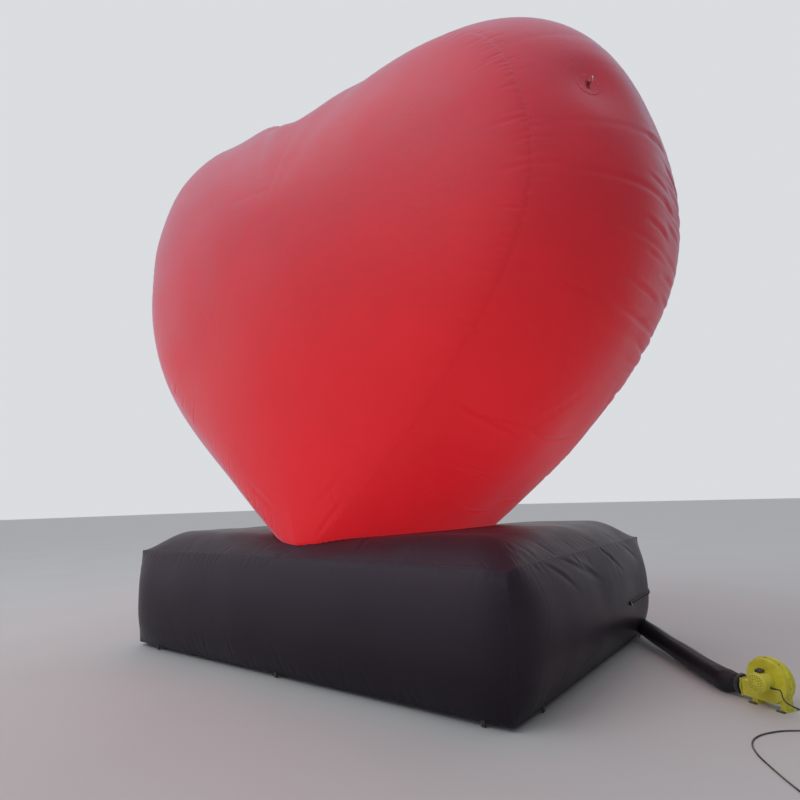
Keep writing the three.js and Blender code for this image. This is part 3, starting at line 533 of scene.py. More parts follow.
@dataclass(frozen=True)
class ClothFinish(Finish):
    """Coated woven cloth of an inflated skin."""

    name: str
    deep: Colour
    faded: Colour
    dust: Colour
    sheen: float
    sheen_tint: Colour
    sheen_roughness: float = 0.35
    roughness: tuple[float, float] = (0.4, 0.5)
    thread: float = 0.0011
    rib: float = 0.011
    crinkle: float = 9.0
    crinkle_height: float = 0.0007
    low_dust: float = 0.5
    level_dust: float = 0.12
    stitch: Colour = (0.02, 0.02, 0.02)
    painted_glow: tuple[Colour, Colour] | None = None  # painted glow: emission that stands in for light through the skin, low and high
    painted_glow_reach: tuple[float, float] = (0.5, 6.6)  # heights between which the one turns into the other
    painted_sky_reflection: Colour = (0.0, 0.0, 0.0)  # painted sky reflection: the emission at the top instead of the painted glow
    painted_sky_reflection_reach: tuple[float, float] = (2.6, 6.4)
    painted_glow_side: tuple[float, float, float] = (1.8, 3.5, 0.5)  # painted shade on the right: X from and to which the painted glow fades, and share left
    painted_glow_cloud: float = 0.12  # how far the blotches show in it
    rib_shade: float = 0.25  # how far the weave's ribs darken the cloth
    dusty_roughness: float = 0.3  # what dust adds to the roughness
    foot_share: float = 0.0  # painted shade: how far the cloth is darkened towards the ground
    painted_shade_reach: tuple[float, float] = (0.0, 0.8)
    painted_shade_dark: float = 0.2  # brightness of the painted shade where it is darkest
    rib_dark: float = 0.72  # the same on a rib of the weave
    weave_height: float = 0.0003
    stitches: tuple[float, float, float] = (0.007, 0.009, 0.0016)  # pitch, distance from the seam, thread
    gloss_tint: Colour = (1.0, 1.0, 1.0)
    ior: float = 1.36

    def material(self) -> bpy.types.Material:
        """Makes the material."""
        made, tree, shader = self.start()
        flat, solid = self.flat(tree), self.solid(tree)
        weave = tree.effect(WEAVE.group(), Place=flat, Pitch=self.thread, Rib_Pitch=self.rib)
        crinkle = tree.effect(CRINKLE.group(), Place=flat, Scale=self.crinkle)
        cloud = tree.effect(BLOTCHES.group(), Place=solid)
        soil = tree.effect(SOIL.group(), Place=solid, Low=self.low_dust, Level=self.level_dust)
        colour = tree.mixed(cloud["Mask"], self.deep, self.faded)
        shade = tree.math("MULTIPLY", weave["Rib"], self.rib_shade)
        colour = tree.mixed(shade, colour, tuple(self.rib_dark * c for c in self.deep))
        colour = tree.mixed(soil["Mask"], colour, self.dust)
        height = tree.node("SeparateXYZ", {0: solid}).outputs["Z"]
        # Painted shade: the cloth darkens towards the ground.
        darker = tree.ranged(height, *self.painted_shade_reach, self.foot_share, 0.0)
        colour = tree.mixed(darker, colour, tuple(self.painted_shade_dark * c for c in self.deep))
        pitch, row, thread = self.stitches
        sewn = tree.effect(STITCHES.group(), Place=self.sewn(tree), Pitch=pitch, Row=row, Thread=thread)
        colour = tree.mixed(sewn["Mask"], colour, self.stitch)
        layers = [
            (crinkle["Height"], 1.0, self.crinkle_height), (sewn["Height"], 0.9, thread),
            (weave["Height"], 0.35, self.weave_height),
        ]
        tree.give(shader.inputs["Base Color"], colour)
        low, high = self.roughness
        rough = tree.ranged(cloud["Mask"], 0.0, 1.0, low, high)
        rough = tree.math("MULTIPLY_ADD", soil["Mask"], self.dusty_roughness, rough)
        tree.give(shader.inputs["Roughness"], rough)
        tree.give(shader.inputs["Normal"], self.bumps(tree, *layers))
        shader.inputs["IOR"].default_value = self.ior
        # Painted light: emission, stronger low than high, with a painted sky reflection at the top and
        # painted shade towards the right.
        if self.painted_glow:
            painted_glow = tree.mixed(tree.ranged(height, *self.painted_glow_reach), *self.painted_glow)
            painted_glow = tree.mixed(tree.ranged(height, *self.painted_sky_reflection_reach), painted_glow, self.painted_sky_reflection)
            painted_glow = tree.mixed(tree.math("MULTIPLY", cloud["Mask"], self.painted_glow_cloud), painted_glow, self.deep)
            # Painted shade: the painted glow fades towards the right.
            start, end, share = self.painted_glow_side
            place = tree.node("SeparateXYZ", {0: solid}).outputs["X"]
            faded = tree.ranged(place, start, end, 0.0, 1.0 - share)
            tree.give(shader.inputs["Emission Color"], tree.mixed(faded, painted_glow, (0.0, 0.0, 0.0)))
            shader.inputs["Emission Strength"].default_value = 1.0
        shader.inputs["Specular Tint"].default_value = (*self.gloss_tint, 1.0)
        shader.inputs["Sheen Weight"].default_value = self.sheen
        shader.inputs["Sheen Tint"].default_value = (*self.sheen_tint, 1.0)
        shader.inputs["Sheen Roughness"].default_value = self.sheen_roughness
        return made


@dataclass(frozen=True)
class WebbingFinish(Finish):
    """Narrow woven tape, with the place along and across it in its own flat map."""

    name: str
    deep: Colour
    light: Colour
    pitch: float = 0.0022

    def material(self) -> bpy.types.Material:
        """Makes the material."""
        made, tree, shader = self.start()
        flat, solid = self.flat(tree), self.solid(tree)
        weave = tree.effect(WEAVE.group(), Place=flat, Pitch=self.pitch, Rib_Pitch=0.0075)
        sewn = tree.effect(STITCHES.group(), Place=flat, Pitch=0.0042, Row=0.0105, Thread=0.0009)
        soil = tree.effect(SOIL.group(), Place=solid, Low=0.12, Level=0.06)
        # Painted shade: the tape is darker in the hollows between its threads.
        colour = tree.mixed(weave["Height"], tuple(0.6 * c for c in self.deep), self.deep)
        colour = tree.mixed(sewn["Mask"], colour, self.light)
        colour = tree.mixed(soil["Mask"], colour, (0.2, 0.17, 0.14))
        tree.give(shader.inputs["Base Color"], colour)
        tree.give(shader.inputs["Roughness"], tree.math("MULTIPLY_ADD", weave["Height"], -0.12, 0.85))
        layers = [(sewn["Height"], 0.8, 0.0009), (weave["Height"], 0.8, 0.0007)]
        tree.give(shader.inputs["Normal"], self.bumps(tree, *layers))
        shader.inputs["Sheen Weight"].default_value = 0.25
        return made


@dataclass(frozen=True)
class MetalFinish(Finish):
    """Zinc-plated steel."""

    name: str
    clean: Colour = (0.56, 0.57, 0.58)
    dull: Colour = (0.3, 0.29, 0.28)
    roughness: tuple[float, float] = (0.25, 0.5)

    def material(self) -> bpy.types.Material:
        """Makes the material."""
        made, tree, shader = self.start()
        solid = self.solid(tree)
        spangle = tree.node("TexVoronoi", {"Vector": solid, "Scale": 260.0}).outputs["Color"]
        grey = tree.node("SeparateColor", {0: spangle}).outputs[0]
        dulled = tree.ranged(tree.noise(solid, 70.0, 5.0, 0.5), 0.42, 0.68)
        colour = tree.mixed(dulled, self.clean, self.dull)
        tree.give(shader.inputs["Base Color"], colour)
        low, high = self.roughness
        rough = tree.ranged(dulled, 0.0, 1.0, low, high)
        tree.give(shader.inputs["Roughness"], tree.math("MULTIPLY_ADD", grey, 0.1, rough))
        shader.inputs["Metallic"].default_value = 1.0
        tree.give(shader.inputs["Normal"], self.bumps(tree, (dulled, 0.2, 0.0004)))
        return made


@dataclass(frozen=True)
class PlasticFinish(Finish):
    """Moulded plastic or rubber with a fine grain, rubbed edges and dust."""

    name: str
    deep: Colour
    faded: Colour
    worn: Colour
    roughness: tuple[float, float] = (0.38, 0.5)
    edge: float = 0.0022
    grain: float = 0.00015
    dust: float = 0.5
    coat: float = 0.0

    def material(self) -> bpy.types.Material:
        """Makes the material."""
        made, tree, shader = self.start()
        solid = self.solid(tree)
        grain = tree.effect(GRAIN.group(), Place=solid)
        wear = tree.effect(WEAR.group(), Place=solid, Radius=self.edge)
        soil = tree.effect(SOIL.group(), Place=solid, Low=self.dust, Level=0.5 * self.dust)
        drift = tree.ranged(grain["Drift"], 0.35, 0.65)
        colour = tree.mixed(drift, self.deep, self.faded)
        colour = tree.mixed(wear["Mask"], colour, self.worn)
        colour = tree.mixed(soil["Mask"], colour, (0.24, 0.21, 0.17))
        tree.give(shader.inputs["Base Color"], colour)
        rough = tree.ranged(drift, 0.0, 1.0, *self.roughness)
        rough = tree.math("MULTIPLY_ADD", wear["Mask"], 0.12, rough)
        tree.give(shader.inputs["Roughness"], tree.math("MULTIPLY_ADD", soil["Mask"], 0.25, rough))
        tree.give(shader.inputs["Normal"], self.bumps(tree, (grain["Height"], 0.5, self.grain)))
        shader.inputs["Coat Weight"].default_value = self.coat
        return made


@dataclass(frozen=True)
class FloorFinish(Finish):
    """Plain pale floor."""

    name: str
    colour: Colour = (0.6, 0.6, 0.61)
    patchy: float = 0.97  # brightness of its darker patches

    def material(self) -> bpy.types.Material:
        """Makes the material."""
        made, tree, shader = self.start()
        soft = tree.ranged(tree.noise(self.solid(tree), 0.6, 5.0), 0.3, 0.7)
        darker = tuple(self.patchy * c for c in self.colour)
        tree.give(shader.inputs["Base Color"], tree.mixed(soft, self.colour, darker))
        shader.inputs["Roughness"].default_value = 0.7
        return made


class Look(Enum):
    """Finishes that a piece can have: the material's name and its slot of the record."""

    RED_CLOTH = ("red cloth", "red_cloth")
    BLACK_CLOTH = ("black cloth", "black_cloth")
    TUBE_CLOTH = ("tube cloth", "black_cloth")
    RED_WEBBING = ("red webbing", "red_webbing")
    BLACK_WEBBING = ("black webbing", "black_webbing")
    PLATED_STEEL = ("plated steel", "steel")
    LIME_PLASTIC = ("lime plastic", "lime_plastic")
    DARK_PLASTIC = ("dark plastic", "dark_plastic")
    BLACK_RUBBER = ("black rubber", "black_rubber")
    FLOOR = ("floor", "floor")


FINISHES: tuple[Finish, ...] = (
    ClothFinish(
        "red cloth", (0.5, 0.0075, 0.0145), (0.54, 0.0095, 0.018), (0.4, 0.12, 0.12),
        sheen=0.75, sheen_tint=(0.74, 0.8, 1.0), sheen_roughness=0.36, roughness=(0.42, 0.52),
        low_dust=0.0, level_dust=0.06, stitch=(0.42, 0.007, 0.012),
        # painted glow low and high, and painted sky reflection at the top, both as emission
        painted_glow=((0.385, 0.0085, 0.012), (0.105, 0.003, 0.0035)), painted_sky_reflection=(0.125, 0.048, 0.078),
    ),
    ClothFinish(
        "black cloth", (0.026, 0.0165, 0.0265), (0.032, 0.021, 0.033), (0.06, 0.05, 0.055),
        sheen=0.05, sheen_tint=(0.9, 0.75, 1.0), roughness=(0.38, 0.48), crinkle=7.0,
        # foot_share: painted shade towards the ground
        low_dust=0.0, level_dust=0.08, stitch=(0.03, 0.021, 0.031), foot_share=0.85,
        gloss_tint=(0.92, 0.84, 1.0),
    ),
    ClothFinish(
        "tube cloth", (0.014, 0.0125, 0.017), (0.018, 0.016, 0.022), (0.06, 0.05, 0.055),
        sheen=0.05, sheen_tint=(0.9, 0.8, 1.0), roughness=(0.4, 0.5), crinkle=7.0,
        low_dust=0.05, level_dust=0.08, stitch=(0.02, 0.018, 0.024),
    ),
    WebbingFinish("black webbing", (0.018, 0.017, 0.02), (0.07, 0.068, 0.075)),
    WebbingFinish("red webbing", (0.42, 0.012, 0.016), (0.6, 0.08, 0.08)),
    MetalFinish("plated steel"),
    PlasticFinish(
        "lime plastic", (0.66, 0.62, 0.025), (0.76, 0.71, 0.05), (0.82, 0.79, 0.25), dust=0.2, coat=0.12,
    ),
    PlasticFinish("dark plastic", (0.014, 0.014, 0.016), (0.026, 0.026, 0.028), (0.09, 0.09, 0.09)),
    PlasticFinish("black rubber", (0.012, 0.012, 0.013), (0.02, 0.02, 0.021), (0.05, 0.05, 0.05),
                  roughness=(0.6, 0.75), grain=0.0001),
    FloorFinish("floor"),
)


class Wardrobe:
    """Every finish by name, each made when it is first asked for."""

    def __init__(self) -> None:
        """Starts empty."""
        self.known = {finish.name: finish for finish in FINISHES}
        self.made: dict[str, bpy.types.Material] = {}

    def __getitem__(self, look: Look) -> bpy.types.Material:
        """The material of a finish."""
        name = look.value[0]
        if name not in self.made:
            self.made[name] = self.known[name].material()
        return self.made[name]

    def dress(self, piece: bpy.types.Object, look: Look, nodes: Sequence[str] = ()) -> bpy.types.Object:
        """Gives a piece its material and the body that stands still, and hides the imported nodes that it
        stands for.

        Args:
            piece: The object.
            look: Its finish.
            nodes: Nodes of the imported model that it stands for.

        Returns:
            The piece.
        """
        piece.data.materials.clear()
        piece.data.materials.append(self[look])
        look.value[1]
        if nodes:
            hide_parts(*nodes)
        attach(piece, STILL)
        log.info("%s made", piece.name)
        return piece


# Folds


DEPTH_MIX = ((0.4, 1.0, 1.5), (0.3, 0.5, 0.2))  # factors on a fold's depth, and how often each comes
REACH_MIX = ((0.6, 1.0, 1.7), (0.4, 0.45, 0.15))  # the same for its reach


@dataclass(frozen=True)
class Gathers:
    """Small folds that run square to a sewn edge, where the cloth is taken in."""

    seed: int
    pitch: float = 0.06
    depth: tuple[float, float] = (0.0015, 0.005)
    width: tuple[float, float] = (0.012, 0.02)
    reach: tuple[float, float] = (0.08, 0.3)
    slant: float = 0.15
    start: float = 0.012  # distance over which a fold deepens from the edge
    hold: float = 0.15  # share of its reach over which it keeps its depth
    jitter: float = 0.38  # how far a fold strays from its place, as a share of the pitch
    flare: float = 0.8  # how much wider it is at its end
    ridge: tuple[float, float] = (0.35, 2.2)  # height and width of the ridges beside it, as shares of its own

    def heights(
        self, along: np.ndarray, away: np.ndarray, strength: Callable[[float], float] | None = None
    ) -> np.ndarray:
        """Depth of the folds.

        Args:
            along: Distance along the edge of each column, rising.
            away: Distance from the edge, one row of columns after another.
            strength: Share of the depth that a fold has at its place along the edge.

        Returns:
            Height of the surface, negative in a fold, of the shape of away.
        """
        rng = np.random.default_rng(self.seed)
        height = np.zeros_like(away)
        count = max(int((along[-1] - along[0]) / self.pitch), 1)
        strays = rng.uniform(-self.jitter, self.jitter, count)
        middles = along[0] + (np.arange(count) + 0.5 + strays) * self.pitch
        depths = rng.uniform(*self.depth, count) * rng.choice(DEPTH_MIX[0], count, p=DEPTH_MIX[1])
        widths = rng.uniform(*self.width, count)
        reaches = rng.uniform(*self.reach, count) * rng.choice(REACH_MIX[0], count, p=REACH_MIX[1])
        slants = rng.uniform(-self.slant, self.slant, count)
        for middle, depth, width, reach, slant in zip(middles, depths, widths, reaches, slants):
            share = 1.0 if strength is None else strength(middle)
            if share <= 0.0:
                continue
            room = 5 * width + self.slant * reach
            low, high = np.searchsorted(along, [middle - room, middle + room])
            near = away[:, low:high]
            spread = width * (1.0 + self.flare * near / reach)
            across = (along[None, low:high] - middle - slant * near) / spread
            fade = (1.0 - smooth(near, self.hold * reach, reach)) * smooth(near, 0.0, self.start)
            fold = self.ridge[0] * bell(across, self.ridge[1]) - bell(across)
            height[:, low:high] += share * depth * fold * fade
        return height


@dataclass(frozen=True)
class Crease:
    """One fold along a line on a surface, a valley with a low ridge beside it."""

    path: tuple[tuple[float, ...], ...]
    depth: float = 0.012
    width: float = 0.022
    ridge: float = 0.4
    fine: int = 12  # points of its line between two of the path
    reach: float = 7.0  # widths from the line beyond which it ends
    fade: float = 3.5  # widths from the line where it starts to end
    ridge_at: float = 1.9  # widths from the line to the ridge's top
    ridge_width: float = 1.2
    ends: float = 0.3  # share of its length over which it rises from each end
    least: float = 0.15  # share of its depth right at the ends

    def heights(
        self, points: np.ndarray, place: Callable[[np.ndarray, np.ndarray], np.ndarray] | None = None,
        side: Sequence[float] = (0.0, 0.0, 1.0),
    ) -> np.ndarray:
        """Height that the fold gives to points near its line.

        Args:
            points: Points of the surface, one a row.
            place: Gives the surface's point at the path's two values, where it isn't in space.
            side: Direction on whose side the ridge lies.

        Returns:
            Height of each point.
        """
        path = np.asarray(self.path, float)
        length = np.linspace(0, len(path) - 1, self.fine * (len(path) - 1) + 1)
        values = [np.interp(length, np.arange(len(path)), column) for column in path.T]
        line = np.stack(values, axis=-1) if place is None else place(*values)
        run = run_length(line)
        height = np.zeros(len(points))
        room = self.reach * self.width
        low, high = line.min(axis=0) - room, line.max(axis=0) + room
        near = np.flatnonzero(((points > low) & (points < high)).all(axis=1))
        if not len(near):
            return height
        chosen = points[near]
        best = np.full(len(near), 1e9)
        signed = np.zeros(len(near))
        place_on = np.zeros(len(near))
        for k in range(len(line) - 1):
            step = line[k + 1] - line[k]
            size = max(float(np.linalg.norm(step)), 1e-9)
            share = np.clip((chosen - line[k]) @ step / size**2, 0.0, 1.0)
            gap = chosen - line[k] - share[:, None] * step
            distance = np.linalg.norm(gap, axis=1)
            closer = distance < best
            best = np.where(closer, distance, best)
            signed = np.where(closer, np.sign(gap @ np.asarray(side, float)) * distance, signed)
            place_on = np.where(closer, run[k] + share * size, place_on)
        total = run[-1]
        rise = smooth(place_on, 0.0, self.ends * total)
        fall = 1.0 - smooth(place_on, (1.0 - self.ends) * total, total)
        valley = bell(best, self.width)
        ridge = self.ridge * bell(signed - self.ridge_at * self.width, self.ridge_width * self.width)
        share = self.least + (1.0 - self.least) * (rise * fall)
        height[near] = self.depth * (ridge - valley) * share * (
            1.0 - smooth(best, self.fade * self.width, room)
        )
        return height


@dataclass(frozen=True)
class Swells:
    """Slow, shallow swells of a tight skin, a sum of waves in space."""

    seed: int
    height: float = 0.004
    lengths: tuple[float, float] = (0.5, 1.6)
    waves: int = 9

    def heights(self, points: np.ndarray) -> np.ndarray:
        """Height at points, one a row."""
        rng = np.random.default_rng(self.seed)
        total = np.zeros(points.shape[:-1])
        for _ in range(self.waves):
            direction = unit(rng.normal(size=3))
            length = rng.uniform(*self.lengths)
            total += np.sin(points @ direction * (FULL / length) + rng.uniform(0, FULL))
        return self.height * total / math.sqrt(self.waves)


# The heart's surface


@dataclass(frozen=True)
class Lobe:
    """Top of a lobe and the outline's handles on either side of it."""

    x: float
    z: float
    inner: float
    outer: float


@dataclass(frozen=True)
class HeartForm:
    """The smooth surface of the heart, by turn from straight up and by profile value.

    A turn is in degrees, positive to the right. The profile value runs from -1 at the middle of
    the front face, over the long seams at -SEAM and SEAM, to 1 at the middle of the back face.
    Most of the values, and all of fuller, fuller_front and notch_fuller, were fitted by a program to
    the outline and the seams seen in the photograph.
    """

    x: float = 0.074
    y: float = -0.075
    pole: float = 4.2
    cleft: float = 5.01
    cleft_rise: tuple[float, float] = (0.171, 0.547)
    right: Lobe = Lobe(1.813, 6.16, 1.481, 0.841)
    left: Lobe = Lobe(1.6, 6.26, 1.452, 0.555)
    side: tuple[float, float] = (3.365, 4.272)
    side_handles: tuple[float, float] = (1.52, 1.89)
    tip: float = 0.43
    tip_rise: tuple[float, float] = (1.666, 1.16)
    depth: float = 1.7
    lobe_depth: float = 1.746
    band_half: float = 1.317
    lobe_half: float = 1.047
    lobe_reach: tuple[float, float] = (25.0, 80.0)
    seam_share: float = 0.788
    notch_share: float = 0.995
    foot_share: float = 0.855
    notch_reach: float = 38.0
    foot_from: float = 110.0
    face_round: float = 1.5
    face_flat: tuple[float, float] = (1.95, 1.5)  # at the foot, and at the lobes
    band_power: tuple[float, float] = (2.9, 2.2)
    face_blunt: tuple[float, float] = (0.028, 0.06)  # so that a face goes on where the band ends
    foot_drop: float = 0.02
    tip_reach: float = 13.0  # degrees over which the foot is dropped
    dimple: float = 0.077  # how far a tether draws the skin in
    dimple_width: float = 0.2
    soften: float = 0.96
    foot_z: float = 1.1
    lean: float = -0.075
    lean_back: float = 0.023
    seam: float = 0.3
    pole_round: float = 0.35  # share of the radius within which the faces' middles are rounded
    notch_fill: float = 1.0  # how far the faces bulge over the notch
    fill_power: float = 5.61
    notch_lift: float = -0.104
    soft_width: float = 30.0  # degrees over which notch and foot are smoothed
    round_width: float = 7.0  # degrees over which the faces round their creases off
    foot_soften: float = 4.0
    tether_turn: float = 80.0
    tether_t: float = 0.2
    fuller: tuple[tuple[float, float], ...] = (  # turns, and shares added to the radius there
        (48.0, -0.005), (72.0, -0.002), (96.0, 0.011), (120.0, -0.019), (144.0, -0.011),
        (-144.0, -0.022), (-120.0, 0.004), (-96.0, 0.005), (-72.0, -0.016),
    )
    fuller_front: tuple[tuple[float, float], ...] = ((24.0, 0.06), (-48.0, 0.095), (-24.0, 0.035))
    fuller_reach: float = 21.6  # degrees over which each of them fades
    notch_fuller: tuple[float, float, float] = (-3.0, 0.053, 8.2)  # turn, share and reach of one at the notch
    notch_depth: tuple[float, float] = (0.5, 0.85)  # profile values between which that one fades

    def rim(self, lobe: Lobe) -> tuple[np.ndarray, np.ndarray]:
        """Outline of one side, round the pole.

        Args:
            lobe: The lobe on that side.

        Returns:
            Turns in degrees, rising, and radii.
        """
        top, (side_x, side_z) = (lobe.x, lobe.z), self.side
        above, below = self.side_handles
        rise_x, rise_z = self.cleft_rise
        tip_x, tip_z = self.tip_rise
        spans = (
            ((0, self.cleft), (rise_x, self.cleft + rise_z), (lobe.x - lobe.inner, lobe.z), top),
            (top, (lobe.x + lobe.outer, lobe.z), (side_x, side_z + above), self.side),
            (self.side, (side_x, side_z - below), (tip_x, self.tip + tip_z), (0, self.tip)),
        )
        line = np.concatenate([bezier(span, 241) for span in spans]) - (0.0, self.pole)
        turns = np.degrees(np.arctan2(line[:, 0], line[:, 1]))
        return np.maximum.accumulate(turns), np.hypot(line[:, 0], line[:, 1])

    def rim_radius(self, turn: np.ndarray) -> np.ndarray:
        """Radius of the outline at turns in degrees."""
        turn = wrapped(turn)
        right, left = (np.interp(np.abs(turn), *self.rim(lobe)) for lobe in (self.right, self.left))
        return np.where(turn < 0, left, right)

    @cached_property
    def table(self) -> tuple[np.ndarray, ...]:
        """Turns, and there the outline's radius, and the radius smoothed a little and a lot."""
        turns = np.arange(-180.0, 180.0, 0.05)
        rim = self.rim_radius(turns)
        spread = []
        for width in (self.round_width, self.soft_width):
            kernel = np.exp(-((turns / width) ** 2) / 2)
            kernel = np.fft.fft(np.fft.ifftshift(kernel / kernel.sum()))
            spread.append(np.fft.ifft(np.fft.fft(rim) * kernel).real)
        return turns, rim, *spread

    def fullness(self, turn: np.ndarray, t: np.ndarray) -> np.ndarray:
        """Factor on the radius, at turns in degrees and profile values."""
        factor = np.zeros_like(turn)
        front = smooth(-t, 0.0, self.seam)
        for places, weight in ((self.fuller, 1.0), (self.fuller_front, front)):
            for middle, share in places:
                away = wrapped(turn - middle)
                factor += weight * share * bell(away, self.fuller_reach)
        middle, share, reach = self.notch_fuller
        away = wrapped(turn - middle)
        factor += front * share * bell(away, reach) * (1.0 - smooth(-t, *self.notch_depth))
        return 1.0 + factor * smooth(self.from_tether(turn, t), 0.12, 0.5)

    def from_tether(self, turn: np.ndarray, t: np.ndarray) -> np.ndarray:
        """Distance in metres, nearly, from the nearest tether point."""
        around = np.abs(wrapped(turn))
        return np.hypot(0.05 * (around - self.tether_turn), 5.0 * (np.abs(t) - self.tether_t))

    def face_rise(self, inward: np.ndarray, power: np.ndarray, blunt: np.ndarray) -> np.ndarray:
        """Share of a face's bulge at a share of its radius, with its middle rounded.

        Args:
            inward: Share of the radius, 1 at the seam and 0 at the middle.
            power: How steeply it leaves the seam.
            blunt: How far that steepness is held back right at the seam.

        Returns:
            Share of the way out from the seam's plane to the face's deepest point.
        """
        low = blunt ** (1.0 / power)
        rise = (np.clip(1.0 - inward**self.face_round, 0.0, 1.0) + blunt) ** (1.0 / power) - low
        edge = self.pole_round
        inner = 1.0 - edge**self.face_round + blunt
        slope = inner ** (1.0 / power - 1.0) * edge ** (self.face_round - 1.0)
        bow = slope * self.face_round / power * edge / 2
        top = inner ** (1.0 / power) - low + bow
        return np.where(inward < edge, top - bow * (inward / edge) ** 2, rise) / top

    def points(self, turn: np.ndarray, t: np.ndarray) -> np.ndarray:
        """Points of the surface.

        Args:
            turn: Turns in degrees.
            t: Profile values, of a shape that goes with turn's.

        Returns:
            Points along a new last axis.
        """
        turn, t = np.broadcast_arrays(np.asarray(turn, float), np.asarray(t, float))
        size = np.clip(np.abs(t), 0.0, 1.0)
        around = np.abs(wrapped(turn))
        lobe = 1.0 - smooth(around, *self.lobe_reach)
        half = self.band_half + (self.lobe_half - self.band_half) * lobe
        notch = (self.notch_share - self.seam_share) * (1.0 - smooth(around, 0.0, self.notch_reach))
        foot = (self.foot_share - self.seam_share) * smooth(around, self.foot_from, 180.0)
        at_seam = self.seam_share + notch + foot
        over = np.clip(size / self.seam, 0.0, 1.0)
        a = np.clip((size - self.seam) / (1.0 - self.seam), 0.0, 1.0) * (math.pi / 2)
        inward = np.clip(np.cos(a), 0.0, 1.0) ** (2.0 / self.face_round)
        depth = self.depth + (self.lobe_depth - self.depth) * lobe * inward
        on_face = size > self.seam
        shapes = (self.face_flat, self.band_power, self.face_blunt)
        powers = [low + (high - low) * lobe for low, high in shapes]
        bulge = self.face_rise(inward, powers[0], powers[2])
        y = np.where(on_face, half + (depth - half) * bulge, half * over)
        share = np.where(on_face, at_seam * inward, 1.0 - (1.0 - at_seam) * over ** powers[1])
        inward = np.where(on_face, inward, 1.0)
        rounding = 1.0 + self.foot_soften * smooth(around, 130.0, 180.0)
        sharp = 1.0 - self.soften * (1.0 - smooth(inward, 0.0, 1.0) ** rounding)
        rim, near, soft = (np.interp(turn, self.table[0], radii, period=360.0) for radii in self.table[1:])
        rim = rim + (near - rim) * (1.0 - smooth(inward, 0.84, 1.0)) * on_face
        hollow = smooth((soft - rim) / rim, 0.0, 0.3)
        soft = soft * (1.0 + self.notch_lift * hollow * smooth(-t, 0.0, self.seam))
        sharp = sharp * (1.0 - self.notch_fill * hollow * (1.0 - inward**self.fill_power))
        radius = share * (rim * sharp + soft * (1.0 - sharp)) * self.fullness(turn, t)
        tip = bell(180.0 - around, self.tip_reach) * smooth(size, 0.1, self.seam) * smooth(inward, 0.5, 0.8)
        radius = radius * (1.0 + self.foot_drop * tip)
        radius = radius - self.dimple * bell(self.from_tether(turn, t), self.dimple_width)
        angle = np.radians(turn)
        z = self.pole + np.cos(angle) * radius
        x = np.sin(angle) * radius + self.lean * (z - self.foot_z) + self.x
        y = np.sign(t) * y + self.lean_back * (z - self.foot_z) + self.y
        return np.stack([x, y, z], axis=-1)

    def normals(self, turn: np.ndarray, t: np.ndarray) -> np.ndarray:
        """Outward directions of the surface, which turn smoothly over a long seam.

        Args:
            turn: Turns in degrees.
            t: Profile values, of a shape that goes with turn's.

        Returns:
            Directions along a new last axis.
        """
        turn, t = np.broadcast_arrays(np.asarray(turn, float), np.asarray(t, float))
        step = 0.004
        round_ = self.points(turn + 0.5, t) - self.points(turn - 0.5, t)
        along = self.points(turn, np.clip(t + step, -1, 1)) - self.points(turn, np.clip(t - step, -1, 1))
        normal = unit(np.cross(round_, along))
        middle = np.stack([0 * t, np.sign(t), 0 * t], axis=-1)
        near_pole = smooth(np.abs(t), 0.975, 0.99)[..., None]
        return unit(normal * (1 - near_pole) + middle * near_pole)

    def seam_turns(self, side: int, count: int) -> np.ndarray:
        """Turns at equal distances along a long seam, from the notch to the foot.

        Args:
            side: 1 for the right, -1 for the left.
            count: How many steps to take.

        Returns:
            count + 1 turns in degrees.
        """
        dense = side * np.linspace(0.0, 180.0, 2401)
        run = run_length(self.points(dense, -self.seam))
        return np.interp(np.linspace(0.0, run[-1], count + 1), run, dense)


